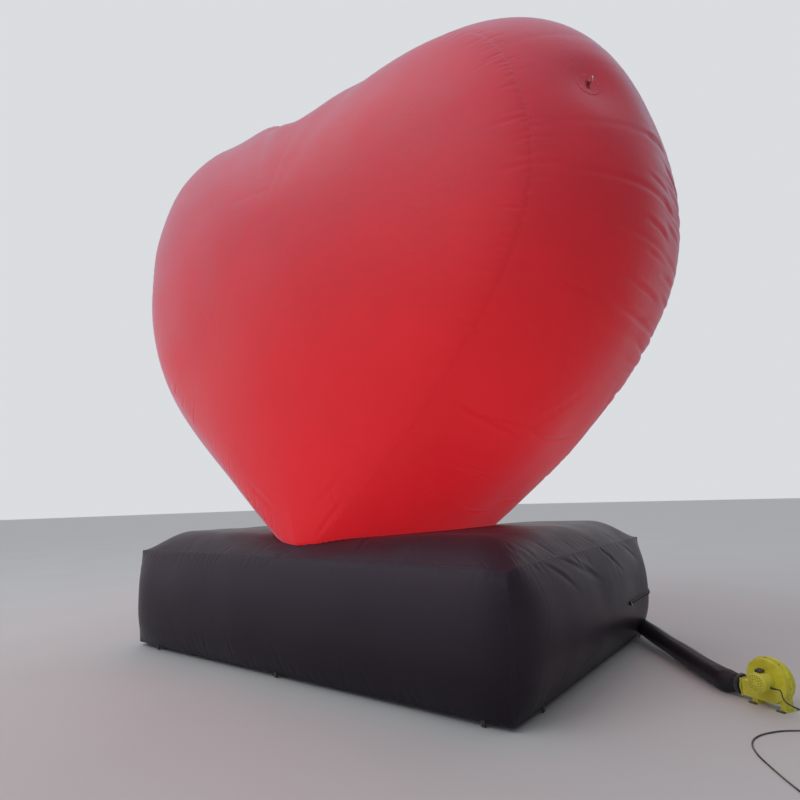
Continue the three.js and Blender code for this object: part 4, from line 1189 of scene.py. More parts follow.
@dataclass(frozen=True)
class PlinthForm:
    """The plinth's skin: its sewn edges, and how far each panel swells from them."""

    half_x: float = 2.24
    half_y: float = 1.6
    top: float = 1.0
    bottom: float = 0.035
    crown: float = 0.19
    dip: float = 0.055
    dip_x: float = 0.2
    dip_reach: float = 1.3
    swell: float = 0.13
    roll: float = 0.4
    top_power: float = 2.1
    wall_roll: float = 0.55
    wall_power: float = 4.3
    rise_power: float = 2.5
    pinches: tuple[tuple[int, int, float], ...] = (  # upper corners by side in X and Y, and how far drawn in
        (1, -1, 0.035), (-1, -1, 0.006), (1, 1, 0.003), (-1, 1, 0.02),
    )
    pinch_width: float = 0.12
    pinch_down: float = 0.9  # how steeply they are drawn downwards
    foot_in: float = 0.012  # how far the right and the left wall's lower edges are drawn in
    foot_pinch: float = 0.018  # how far each lower corner is drawn in
    foot_width: float = 0.15

    @staticmethod
    def ease(distance: np.ndarray, reach: float, power: float) -> np.ndarray:
        """Share of the full swell at a distance from an edge."""
        return 1.0 - (1.0 - np.clip(distance / reach, 0.0, 1.0)) ** power

    def crown_at(self, x: np.ndarray) -> np.ndarray:
        """How far the top swells at a place along X, less under the heart."""
        away = np.minimum(np.abs(x - self.dip_x) / self.dip_reach, 1.0)
        return self.crown - self.dip * (0.5 + 0.5 * np.cos(math.pi * away))

    def lid_rise(self, x: np.ndarray, y: np.ndarray) -> np.ndarray:
        """Share of the full swell of the top or the underside."""
        return self.ease(self.half_x - np.abs(x), self.roll, self.top_power) * self.ease(
            self.half_y - np.abs(y), self.roll, self.top_power
        )

    def top_at(self, x: np.ndarray, y: np.ndarray) -> np.ndarray:
        """Height of the top's skin."""
        return self.top + self.crown_at(x) * self.lid_rise(x, y)

    def bottom_at(self, x: np.ndarray, y: np.ndarray) -> np.ndarray:
        """Height of the underside's skin."""
        return self.bottom * (1.0 - self.lid_rise(x, y))

    def wall_out(self, along: np.ndarray, up: np.ndarray, half: float) -> np.ndarray:
        """How far a wall swells.

        Args:
            along: Place along the wall, from its middle.
            up: Share of its height.
            half: Half its length.

        Returns:
            Distance outwards from the sewn edges' plane.
        """
        up = np.clip(up, 0.0, 1.0)
        rise = self.ease(np.minimum(up, 1.0 - up), 0.5, self.rise_power)
        return self.swell * rise * self.ease(half - np.abs(along), self.wall_roll, self.wall_power)

    def drawn(self, points: np.ndarray) -> np.ndarray:
        """Points of any panel, with corners and lower edges drawn in."""
        moved = points.copy()
        low = 1.0 - smooth(points[..., 2], self.bottom, 0.45)
        moved[..., 0] *= 1.0 - self.foot_in / self.half_x * low
        feet = itertools.product((-1, 1), (-1, 1))
        pulls = [(x, y, self.bottom, 0.0, self.foot_pinch, self.foot_width) for x, y in feet]
        pulls += [(x, y, self.top, self.pinch_down, depth, self.pinch_width) for x, y, depth in self.pinches]
        for side_x, side_y, z, down, depth, width in pulls:
            corner = np.array([side_x * self.half_x, side_y * self.half_y, z])
            away = np.linalg.norm(points - corner, axis=-1)
            into = -unit(np.array([side_x, side_y, down]))
            moved += depth * bell(away, width)[..., None] * into
        return moved


# Webbing, tethers and loops


@dataclass(frozen=True)
class Webbing:
    """A flat woven tape that follows a line in space."""

    width: float = 0.032
    thickness: float = 0.003

    def sheet(self, line: np.ndarray, across: np.ndarray) -> Sheet:
        """Sweeps the tape.

        Args:
            line: Points of its middle line.
            across: Direction over its width at each point, or one for all.

        Returns:
            Its closed surface, with ends.
        """
        across = unit(np.broadcast_to(np.asarray(across, float), line.shape))
        ahead = unit(np.gradient(line, axis=0))
        across = unit(across - (across * ahead).sum(-1, keepdims=True) * ahead)
        out = np.cross(ahead, across)
        w, h = self.width / 2, self.thickness / 2
        soft = min(h, 0.0014)
        side = [(-w + soft, -h), (-w / 2, -h), (0, -h), (w / 2, -h), (w - soft, -h), (w, 0.0),
                (w - soft, h), (w / 2, h), (0, h), (-w / 2, h), (-w + soft, h), (-w, 0.0)]
        ring = np.array(side)
        points = line[:, None] + ring[None, :, :1] * across[:, None] + ring[None, :, 1:] * out[:, None]
        run = run_length(line)
        count = len(ring)
        made = Sheet(points.reshape(-1, 3), flat=paired(run[:, None], ring[None, :, 0]))
        made.grid(len(line), count, closed=True)
        last = (len(line) - 1) * count
        for start, step in ((0, 1), (last, -1)):
            pairs = [(0, 11, 10, 1), (1, 10, 9, 2), (2, 9, 8, 3), (3, 8, 7, 4), (4, 7, 6, 5)]
            quads = np.array([q if step > 0 else q[::-1] for q in pairs if len(q) == 4]) + start
            made.faces.append(quads)
        return made

    def along(self, corners: Sequence[Sequence[float]], across: Sequence[float], fine: int = 8) -> Sheet:
        """Sweeps the tape along a smooth line through corners.

        Args:
            corners: Points that the line rounds.
            across: Direction over the tape's width.
            fine: Points between two corners.

        Returns:
            Its surface.
        """
        return self.sheet(rounded(np.asarray(corners, float), fine), np.asarray(across, float))


def rounded(corners: np.ndarray, fine: int) -> np.ndarray:
    """Centripetal Catmull-Rom line through points.

    Args:
        corners: The points.
        fine: Points between two of them.

    Returns:
        The line.
    """
    ends = np.concatenate([[2 * corners[0] - corners[1]], corners, [2 * corners[-1] - corners[-2]]])
    line = []
    for k in range(1, len(ends) - 2):
        p0, p1, p2, p3 = ends[k - 1: k + 3]
        t0 = 0.0
        steps = (p1 - p0, p2 - p1, p3 - p2)
        t1, t2, t3 = np.cumsum([max(np.linalg.norm(step), 1e-9) ** 0.5 for step in steps])
        t = np.linspace(t1, t2, fine + 1)[:-1, None]
        a1 = (t1 - t) / (t1 - t0) * p0 + (t - t0) / (t1 - t0) * p1
        a2 = (t2 - t) / (t2 - t1) * p1 + (t - t1) / (t2 - t1) * p2
        a3 = (t3 - t) / (t3 - t2) * p2 + (t - t2) / (t3 - t2) * p3
        b1 = (t2 - t) / (t2 - t0) * a1 + (t - t0) / (t2 - t0) * a2
        b2 = (t3 - t) / (t3 - t1) * a2 + (t - t1) / (t3 - t1) * a3
        line.append((t2 - t) / (t2 - t1) * b1 + (t - t1) / (t2 - t1) * b2)
    return np.concatenate([*line, corners[-1:]])


@dataclass
class Tethers:
    """Four tether points: a sewn patch, a folded strap and a welded ring at each."""

    form: HeartForm
    wardrobe: Wardrobe
    radius: float = 0.11
    thick: float = 0.005
    ring_radius: float = 0.024
    wire: float = 0.0035
    strap_height: float = 0.034

    def build(self) -> None:
        """Makes the four."""
        for name, side, face in (
            ("front_right", 1, -1), ("back_right", 1, 1), ("front_left", -1, -1), ("back_left", -1, 1),
        ):
            turn, t = side * self.form.tether_turn, face * self.form.tether_t
            place = self.form.points(turn, t)
            normal = self.form.normals(turn, t)
            self.patch(name, turn, t, place, normal)
            self.strap(name, place, normal)
            self.ring(name, place, normal)

    def frame(self, normal: np.ndarray) -> tuple[np.ndarray, np.ndarray]:
        """Directions over the skin: across, and upwards."""
        across = unit(np.cross([0.0, 0.0, 1.0], normal))
        return across, np.cross(normal, across)

    def patch(self, name: str, turn: float, t: float, place: np.ndarray, normal: np.ndarray) -> None:
        """Makes the round patch on the skin.

        Args:
            name: Which corner.
            turn: Its turn in degrees.
            t: Its profile value.
            place: Its middle.
            normal: Outward direction there.
        """
        across, above = self.frame(normal)
        count = 96
        shares = np.array([1.0, 1.0, 0.985, 0.96, 0.93, 0.9, 0.85, 0.78, 0.68, 0.56, 0.42, 0.28, 0.14])
        lifts = np.array([-0.004, 0.6, 0.92, 1.0, 1.0, 0.97, 1.0, 1.0, 1.0, 1.0, 1.0, 1.0, 1.0]) * self.thick
        angle = np.linspace(0, FULL, count, endpoint=False)
        wobble = 1.0 + 0.006 * np.sin(5 * angle) + 0.004 * np.sin(11 * angle + 1.0)
        du = (self.form.points(turn + 0.5, t) - self.form.points(turn - 0.5, t))
        dv = (self.form.points(turn, t + 0.005) - self.form.points(turn, t - 0.005)) * 100
        scheme = np.linalg.pinv(np.stack([du, dv], axis=-1))
        rim = np.cos(angle)[:, None] * across + np.sin(angle)[:, None] * above
        steps = (rim * wobble[:, None] * self.radius) @ scheme.T
        turns = turn + shares[:, None] * steps[None, :, 0]
        profile = t + shares[:, None] * steps[None, :, 1]
        base = self.form.points(turns, profile)
        pucker = 0.0007 * np.sin(14 * angle)[None, :] * smooth(shares, 0.55, 0.9)[:, None]
        points = base + self.form.normals(turns, profile) * (lifts[:, None] + pucker)[..., None]
        middle = place + normal * self.thick
        spread = shares[:, None, None] * self.radius * np.stack([np.cos(angle), np.sin(angle)], -1)
        flat = np.concatenate([spread.reshape(-1, 2), np.zeros((1, 2))])
        around = paired((angle * self.radius)[None, :], ((1.0 - shares) * self.radius)[:, None])
        seam = np.concatenate([around, [[0.0, 1.0]]])
        sheet = Sheet(np.concatenate([points.reshape(-1, 3), middle[None]]), flat=flat, seam=seam)
        sheet.rings([count] * len(shares) + [1])
        made = sheet.piece(f"tether_{name}_patch", place - normal)
        self.wardrobe.dress(made, Look.RED_CLOTH, [f"tether_patch_{name}"])

    def strap(self, name: str, place: np.ndarray, normal: np.ndarray) -> None:
        """Makes the strap that folds round the ring, with both tails sewn to the patch."""
        across, above = self.frame(normal)
        ends = self.thick + 0.0015
        turn = np.linspace(0.0, math.pi, 9)
        fold = [(-0.0052 * math.cos(a), self.strap_height + 0.0052 * math.sin(a)) for a in turn]
        tail = [(0.0046, 0.024), (0.0042, 0.014), (0.009, ends + 0.001), (0.02, ends), (0.045, ends),
                (0.062, ends - 0.001)]
        line = [*((-u, h) for u, h in reversed(tail)), *fold, *tail]
        corners = [place + above * u + normal * h for u, h in line]
        made = Webbing(0.032, 0.0022).along(corners, across, 3).piece(f"tether_{name}_strap")
        self.wardrobe.dress(made, Look.RED_WEBBING, [f"tether_strap_{name}"])

    def ring(self, name: str, place: np.ndarray, normal: np.ndarray) -> None:
        """Makes the round welded ring that hangs in the strap's fold."""
        across, above = self.frame(normal)
        out = self.strap_height + self.ring_radius - 0.0012
        shop = Bench(f"tether_{name}_ring")
        bpy.ops.mesh.primitive_torus_add(
            major_segments=72, minor_segments=16, major_radius=self.ring_radius, minor_radius=self.wire,
        )
        shop.choose(lambda v: v.x > 0.0 and abs(v.y) < 0.0035)
        bpy.ops.transform.resize(value=(1.0, 1.0, 1.3))
        shop.choose(lambda v: v.x > 0.0 and abs(v.y) < 0.0012)
        bpy.ops.transform.resize(value=(1.05, 1.0, 1.1))
        turned = Matrix((Vector(normal), Vector(above), Vector(across))).transposed().to_4x4()
        made = shop.done(Matrix.Translation(Vector(place + normal * out)) @ turned)
        self.wardrobe.dress(made, Look.PLATED_STEEL, [f"tether_ring_{name}"])


class Bench:
    """An empty piece in edit mode, on which rigid shapes are modelled."""

    def __init__(self, name: str) -> None:
        """Makes the piece and enters edit mode."""
        self.object = linked(name, bpy.data.meshes.new(name))
        bpy.ops.object.select_all(action="DESELECT")
        bpy.context.view_layer.objects.active = self.object
        self.object.select_set(True)
        bpy.ops.object.mode_set(mode="EDIT")

    def choose(self, wanted: Callable[[Vector], bool] | None = None) -> None:
        """Selects the points that are wanted, or all."""
        bpy.ops.mesh.select_all(action="DESELECT")
        if wanted is None:
            bpy.ops.mesh.select_all(action="SELECT")
            return
        work = bmesh.from_edit_mesh(self.object.data)
        for vertex in work.verts:
            vertex.select_set(wanted(vertex.co))
        work.select_flush(True)
        bmesh.update_edit_mesh(self.object.data)

    def bevel(self, width: float, segments: int = 2) -> None:
        """Rounds the edges of the shape that is selected."""
        bpy.ops.mesh.bevel(offset=width, segments=segments, affect="EDGES")

    def box(self, middle: Sequence[float], size: Sequence[float], bevel: float = 0.0) -> None:
        """Adds a block.

        Args:
            middle: Its middle.
            size: Its size.
            bevel: How far its edges are rounded.
        """
        bpy.ops.mesh.select_all(action="DESELECT")
        bpy.ops.mesh.primitive_cube_add(size=1.0)
        bpy.ops.transform.resize(value=tuple(size))
        bpy.ops.transform.translate(value=tuple(middle))
        if bevel:
            self.bevel(bevel)

    def drum(
        self, middle: Sequence[float], radius: float, length: float, axis: str = "Z", sides: int = 32,
        bevel: float = 0.0,
    ) -> None:
        """Adds a cylinder.

        Args:
            middle: Its middle.
            radius: Its radius.
            length: Its length.
            axis: Its axis.
            sides: Its number of sides.
            bevel: How far its two rims are rounded.
        """
        bpy.ops.mesh.select_all(action="DESELECT")
        bpy.ops.mesh.primitive_cone_add(vertices=sides, radius1=radius, radius2=radius, depth=length)
        if bevel:
            bpy.ops.mesh.select_mode(type="FACE")
            work = bmesh.from_edit_mesh(self.object.data)
            for face in work.faces:
                face.select_set(face.select and len(face.verts) == sides)
            bmesh.update_edit_mesh(self.object.data)
            bpy.ops.mesh.bevel(offset=bevel, segments=2, affect="EDGES")
            bpy.ops.mesh.select_linked()
            bpy.ops.mesh.select_mode(type="VERT")
        turn = {"X": ("Y", math.pi / 2), "Y": ("X", -math.pi / 2)}.get(axis)
        if turn:
            bpy.ops.transform.rotate(value=-turn[1], orient_axis=turn[0], center_override=(0.0, 0.0, 0.0))
        bpy.ops.transform.translate(value=tuple(middle))

    def cross(self, middle: Sequence[float], length: float, width: float, depth: float) -> None:
        """Adds the cross on the head of a screw that points along Y."""
        self.box(middle, (length, depth, width))
        self.box(middle, (width, depth, length))

    def done(self, place: Matrix | None = None, angle: float = 0.6) -> bpy.types.Object:
        """Leaves edit mode.

        Args:
            place: Where the piece belongs.
            angle: Edges flatter than this are shaded smooth.

        Returns:
            The piece.
        """
        bpy.ops.mesh.select_all(action="SELECT")
        bpy.ops.mesh.normals_make_consistent(inside=False)
        bpy.ops.object.mode_set(mode="OBJECT")
        if place is not None:
            self.object.data.transform(place)
            if place.determinant() < 0:
                self.object.data.flip_normals()
        bpy.ops.object.shade_smooth_by_angle(angle=angle)
        return self.object


@dataclass
class GroundLoops:
    """Folded webbing loops under the plinth's lower edges."""

    form: PlinthForm
    wardrobe: Wardrobe

    def build(self) -> None:
        """Makes the ten."""
        half_x, half_y = self.form.half_x, self.form.half_y
        rows = (
            ("front", 0.0, half_x, half_y, (-0.82, 0.0, 0.9)),
            ("back", 180.0, half_x, half_y, (-0.82, 0.0, 0.9)),
            ("right", 90.0, half_y, half_x, (-0.72, 0.86)),
            ("left", -90.0, half_y, half_x, (-0.72, 0.86)),
        )
        for name, turn, half, out, shares in rows:
            for number, share in enumerate(shares, 1):
                place = Matrix.Rotation(math.radians(turn), 4, "Z")
                place = place @ Matrix.Translation((share * half, -out, 0.0))
                sewn = np.array(place.translation) + (0.0, 0.0, self.form.bottom)
                place = Matrix.Translation(Vector(self.form.drawn(sewn) - sewn)) @ place
                self.loop(f"{name}_{number}", place, 9 * number + int(turn))

    def loop(self, name: str, place: Matrix, seed: int) -> None:
        """Makes one loop."""
        rng = np.random.default_rng(seed + 400)
        lean = rng.uniform(-0.0015, 0.0015)
        turn = np.linspace(0.0, math.pi, 9)
        fold = [(-0.0061 * math.cos(a) + lean, 0.0105 - 0.0061 * math.sin(a)) for a in turn]
        line = [(0.004, 0.0605), (-0.001, 0.052), (-0.0045, 0.04), (-0.0072 + lean, 0.024), *fold,
                (0.0072 + lean, 0.024), (0.005, 0.04), (0.006, 0.052), (0.009, 0.0605)]
        corners = [place @ Vector((0.0, y, z)) for y, z in line]
        across = place.to_3x3() @ Vector((1.0, 0.0, 0.0))
        made = Webbing(0.032, 0.0022).along(corners, across, 3).piece(f"ground_loop_{name}_webbing")
        self.wardrobe.dress(made, Look.BLACK_WEBBING, [f"ground_loop_{name}"])


# Zip, tube and blower


@dataclass
class DeflationZip:
    """Zip in the right wall: cloth tape, coil and pull."""

    form: PlinthForm
    wardrobe: Wardrobe
    span: tuple[float, float] = (0.62, 1.5)
    level: float = 0.457
    half_width: float = 0.017

    def skin(self, y: np.ndarray, z: np.ndarray, lift: float | np.ndarray) -> np.ndarray:
        """Points at a height over the right wall."""
        share = (z - self.form.bottom) / (self.form.top - self.form.bottom)
        out = self.form.half_x + self.form.wall_out(y, share, self.form.half_y) + lift
        return np.stack(np.broadcast_arrays(out, y, z), axis=-1)

    def build(self) -> None:
        """Makes tape, coil and pull."""
        start, end = self.span
        y = np.linspace(start, end, 260)
        v = np.array([-1.0, -0.97, -0.7, -0.3, -0.2, 0.0, 0.2, 0.3, 0.7, 0.97, 1.0])
        rise = [-0.004, 0.009, 0.0102, 0.0102, 0.0088]
        lifts = np.array([*rise, 0.0084, *rise[::-1]])
        grid, across = np.meshgrid(y, v, indexing="ij")
        wave = 0.0008 * np.sin(grid * 61.0) + 0.0006 * np.sin(grid * 23.0 + 1.0)
        points = self.skin(grid, self.level + self.half_width * across, lifts[None, :] + wave)
        flat = np.stack([grid, self.half_width * across * 0.8], axis=-1)
        tape = Sheet(points.reshape(-1, 3), flat=flat.reshape(-1, 2)).grid(len(y), len(v))
        made = tape.piece("zip_tape_cloth", (0.0, 1.0, self.level))
        self.wardrobe.dress(made, Look.BLACK_WEBBING, ["zip_tape"])
        self.coil()
        self.pull()

    def coil(self) -> None:
        """Makes the two interlocked coils of the chain."""
        start, end = self.span
        turns = int((end - start) / 0.0045)
        angle = np.linspace(0.0, FULL * turns, 7 * turns)
        y = start + (end - start) * angle / angle[-1]
        ring = np.array([(math.cos(a), math.sin(a)) for a in np.linspace(0, FULL, 5, endpoint=False)])
        for name, side in (("upper", 1), ("lower", -1)):
            z = self.level + side * (0.0018 + 0.0026 * np.cos(angle))
            line = self.skin(y, z, 0.0112 + 0.0016 * np.sin(angle))
            ahead = unit(np.gradient(line, axis=0))
            one = unit(np.cross(ahead, [1.0, 0.0, 0.0]))
            two = np.cross(ahead, one)
            round_ = ring[None, :, :1] * one[:, None] + ring[None, :, 1:] * two[:, None]
            points = line[:, None] + 0.0007 * round_
            sheet = Sheet(points.reshape(-1, 3)).grid(len(line), 5, closed=True)
            self.wardrobe.dress(sheet.piece(f"zip_coil_{name}"), Look.DARK_PLASTIC)

    def pull(self) -> None:
        """Makes the slider with the pull that hangs from it."""
        y = self.span[0] + 0.022
        place = self.skin(np.array(y), np.array(self.level), 0.0118)
        bench = Bench("zip_slider")
        bench.box((0.0, 0.0, 0.0), (0.0045, 0.016, 0.013), 0.0014)
        bench.box((0.0046, 0.0, 0.0), (0.0048, 0.0085, 0.0035), 0.0009)
        bench.box((0.0068, 0.0, -0.013), (0.0016, 0.0075, 0.026), 0.0006)
        bench.drum((0.0068, 0.0, -0.027), 0.0062, 0.0017, "X", 24, 0.0004)
        bench.drum((0.0068, 0.0, -0.0285), 0.0031, 0.0024, "X", 16, 0.0003)
        made = bench.done(Matrix.Translation(Vector(place)))
        self.wardrobe.dress(made, Look.PLATED_STEEL, ["zip_pull"])


BLOWER = Matrix.Translation((3.5, -0.21, 0.0)) @ Matrix.Rotation(math.radians(-30.0), 4, "Z")


def at_blower(points: np.ndarray) -> np.ndarray:
    """Points in the blower's own frame, placed in the scene's."""
    turn = np.array(BLOWER.to_3x3())
    return points @ turn.T + np.array(BLOWER.translation)


@dataclass
class Duct:
    """Inflation tube with its gathered cuff and the strap that clamps it on the spout."""

    wardrobe: Wardrobe
    duct_mid: float = 0.084
    mouth: float = -0.2
    cuff_end: float = -0.35
    leaves: float = 0.06  # reach of the tube's first handle
    radius: float = 0.08
    mouth_radius: float = 0.0625
    into: tuple[tuple[float, float, float], ...] = ((2.5, 0.95, 0.11), (2.185, 1.4, 0.15))
    lowest: float = 0.0025
    tube_columns: int = 120
    wrinkles: int = 80
    wrinkle_width: tuple[float, float] = (0.006, 0.014)
    wrinkle_reach: tuple[float, float] = (0.25, 1.1)  # radians round the tube
    wrinkle_lean: float = 0.03
    wrinkle_depth: tuple[float, float] = (0.0008, 0.0028)
    pleat_jitter: float = 0.3  # how far a pleat strays from its place, as a share of their spacing
    tube_pleats: int = 26
    cuff_columns: int = 240
    cuff_rows: int = 90
    cuff_pleats: int = 30
    strap: float = 0.0225  # middle of the strap, from the mouth
    strap_width: float = 0.025

    def sleeve(
        self, node: str, line: np.ndarray, ahead: np.ndarray, run: np.ndarray, radii: np.ndarray,
        relief: np.ndarray, seam: np.ndarray, lowest: float = -math.inf,
    ) -> None:
        """Makes a round sleeve of cloth.

        Args:
            node: Node that it stands for.
            line: Points of its middle line.
            ahead: Direction of the line at each, or one for all.
            run: Distance run along the cloth at each.
            radii: Its radius at each.
            relief: Height of its folds, one row for each point of the line.
            seam: Distance along the nearest seam and from it, one row for each point of the sleeve.
            lowest: Height below which it doesn't reach.
        """
        angle = np.linspace(0, FULL, relief.shape[1], endpoint=False)
        side = unit(np.cross(ahead, [0.0, 0.0, 1.0]))
        above = np.cross(side, ahead)
        ring = np.cos(angle)[None, :, None] * side[:, None] + np.sin(angle)[None, :, None] * above[:, None]
        points = line[:, None] + ring * (radii[:, None] + relief)[..., None]
        points[..., 2] = np.maximum(points[..., 2], lowest)
        flat = paired(run[:, None], (angle * self.radius)[None, :])
        sheet = Sheet(points.reshape(-1, 3), flat=flat, seam=seam)
        made = sheet.grid(len(line), len(angle), closed=True).turned().piece(f"{node}_cloth")
        self.wardrobe.dress(made, Look.TUBE_CLOTH, [node])

    def build(self) -> None:
        """Makes tube, cuff and strap."""
        self.tube()
        self.cuff()
        self.clamp()

    def tube(self) -> None:
        """Makes the tube, which wrinkles where it bends and at its ends."""
        ends = (self.cuff_end + 0.012, self.cuff_end - self.leaves)
        start, lean = at_blower(np.array([(x, 0.0, self.duct_mid) for x in ends]))
        line = bezier([start, lean, *self.into], 300)
        run = run_length(line)
        angle = np.linspace(0, FULL, self.tube_columns, endpoint=False)
        rng = np.random.default_rng(301)
        relief = np.zeros((len(line), len(angle)))
        for _ in range(self.wrinkles):
            middle, around = rng.uniform(0.0, run[-1]), rng.uniform(0, FULL)
            width, reach = rng.uniform(*self.wrinkle_width), rng.uniform(*self.wrinkle_reach)
            lean_by = rng.uniform(-self.wrinkle_lean, self.wrinkle_lean)
            turn = wrapped(angle - around, FULL)
            across = (run[:, None] - middle - lean_by * turn[None, :]) / width
            fade = bell(turn[None, :], reach)
            relief += rng.uniform(*self.wrinkle_depth) * fade * (0.5 * bell(across, 2) - bell(across))
        for k in range(self.tube_pleats):
            around = FULL * (k + rng.uniform(-self.pleat_jitter, self.pleat_jitter)) / self.tube_pleats
            turn = wrapped(angle - around, FULL)
            fade = 1.0 - smooth(run, 0.03, rng.uniform(0.1, 0.34))
            relief -= rng.uniform(0.001, 0.004) * fade[:, None] * bell(turn, 0.07)[None, :]
        over = np.abs(((angle / FULL + 0.25) % 1.0) - 0.5) * FULL * self.radius
        relief += 0.003 * bell(over, 0.006)[None, :]
        radii = np.full(len(line), self.radius) - 0.004 * np.sin(run * 5.1) ** 2
        ahead = unit(np.gradient(line, axis=0))
        seam = paired(run[:, None], over[None, :])
        self.sleeve("inflation_tube", line, ahead, run, radii, relief, seam, self.lowest)

    def cuff(self) -> None:
        """Makes the cuff, pleated where the strap draws it on to the spout."""
        hem = self.mouth + 0.0015
        x = np.concatenate([[self.mouth, hem, hem], np.linspace(self.mouth, self.cuff_end, self.cuff_rows)])
        inner = [self.mouth_radius - step for step in (0.0045, 0.0035, 0.001)]
        share = np.linspace(0.0, 1.0, self.cuff_rows)
        swell = self.mouth_radius + (self.radius - self.mouth_radius) * smooth(share, 0.24, 0.9)
        swell = swell + 0.004 * bell(share, 0.05) - 0.0015 * bell(share - 0.16, 0.06)
        radii = np.concatenate([inner, swell + 0.0012 * smooth(share, 0.9, 1.0)])
        angle = np.linspace(0, FULL, self.cuff_columns, endpoint=False)
        rng = np.random.default_rng(311)
        relief = np.zeros((len(x), len(angle)))
        share = np.concatenate([[0.0, 0.0, 0.0], share])
        for k in range(self.cuff_pleats):
            around = FULL * (k + rng.uniform(-self.pleat_jitter, self.pleat_jitter)) / self.cuff_pleats
            turn = wrapped(angle - around, FULL)
            reach = rng.uniform(0.5, 1.0)
            fade = 1.0 - smooth(share, 0.25, reach)
            fade = fade * (1.0 - 0.55 * bell(share - 0.16, 0.07))
            depth = rng.uniform(0.0015, 0.0042)
            pleat = bell(turn, 0.06) - 0.6 * bell(turn - 0.1, 0.05)
            relief += depth * fade[:, None] * pleat[None, :]
        line = at_blower(np.stack([x, 0 * x, 0 * x + self.duct_mid], axis=-1))
        relief[:3] *= 0.3
        ahead = np.array(BLOWER.to_3x3() @ Vector((-1.0, 0.0, 0.0)))
        steps = np.hypot(np.linalg.norm(np.diff(line, axis=0), axis=1), np.diff(radii))
        run = np.concatenate([[0.0], np.cumsum(steps)])
        seam = paired((angle * self.radius)[None, :], run[:, None] - 0.004)
        self.sleeve("tube_cuff", line, ahead[None], run, radii, relief, seam)

    def clamp(self) -> None:
        """Makes the webbing strap, with its tail and its buckle."""
        angle = np.linspace(-0.2, FULL + 0.55, 130)
        radius = self.mouth_radius + 0.0052 + 0.0032 * smooth(angle, FULL - 0.3, FULL + 0.05)
        radius = radius + 0.008 * smooth(angle, FULL + 0.25, FULL + 0.55)
        turn = angle + math.pi / 2 + 0.35
        x = np.full_like(angle, self.mouth - self.strap)
        local = np.stack([x, -radius * np.cos(turn), self.duct_mid + radius * np.sin(turn)], axis=-1)
        across = np.array(BLOWER.to_3x3() @ Vector((1.0, 0.0, 0.0)))
        made = Webbing(self.strap_width, 0.0022).sheet(at_blower(local), across).piece("tube_clamp_webbing")
        self.wardrobe.dress(made, Look.BLACK_WEBBING, ["tube_clamp_strap"])
        bench = Bench("tube_clamp_buckle")
        for y in (-0.0155, 0.0155):
            bench.box((0.0, y, 0.0), (0.024, 0.0028, 0.0028), 0.0008)
        for x in (-0.0115, 0.0, 0.0115):
            bench.box((x, 0.0, 0.0), (0.0028, 0.033, 0.0028), 0.0008)
        at = math.pi / 2 + 0.35
        reach = self.mouth_radius + 0.0115
        place = Vector((self.mouth - self.strap, -reach * math.cos(at), self.duct_mid + reach * math.sin(at)))
        out = Vector((0.0, -math.cos(at), math.sin(at)))
        along = Vector((0.0, math.sin(at), math.cos(at)))
        turned = Matrix((along, Vector((1.0, 0.0, 0.0)), out)).transposed().to_4x4()
        made = bench.done(BLOWER @ Matrix.Translation(place) @ turned)
        self.wardrobe.dress(made, Look.PLATED_STEEL)


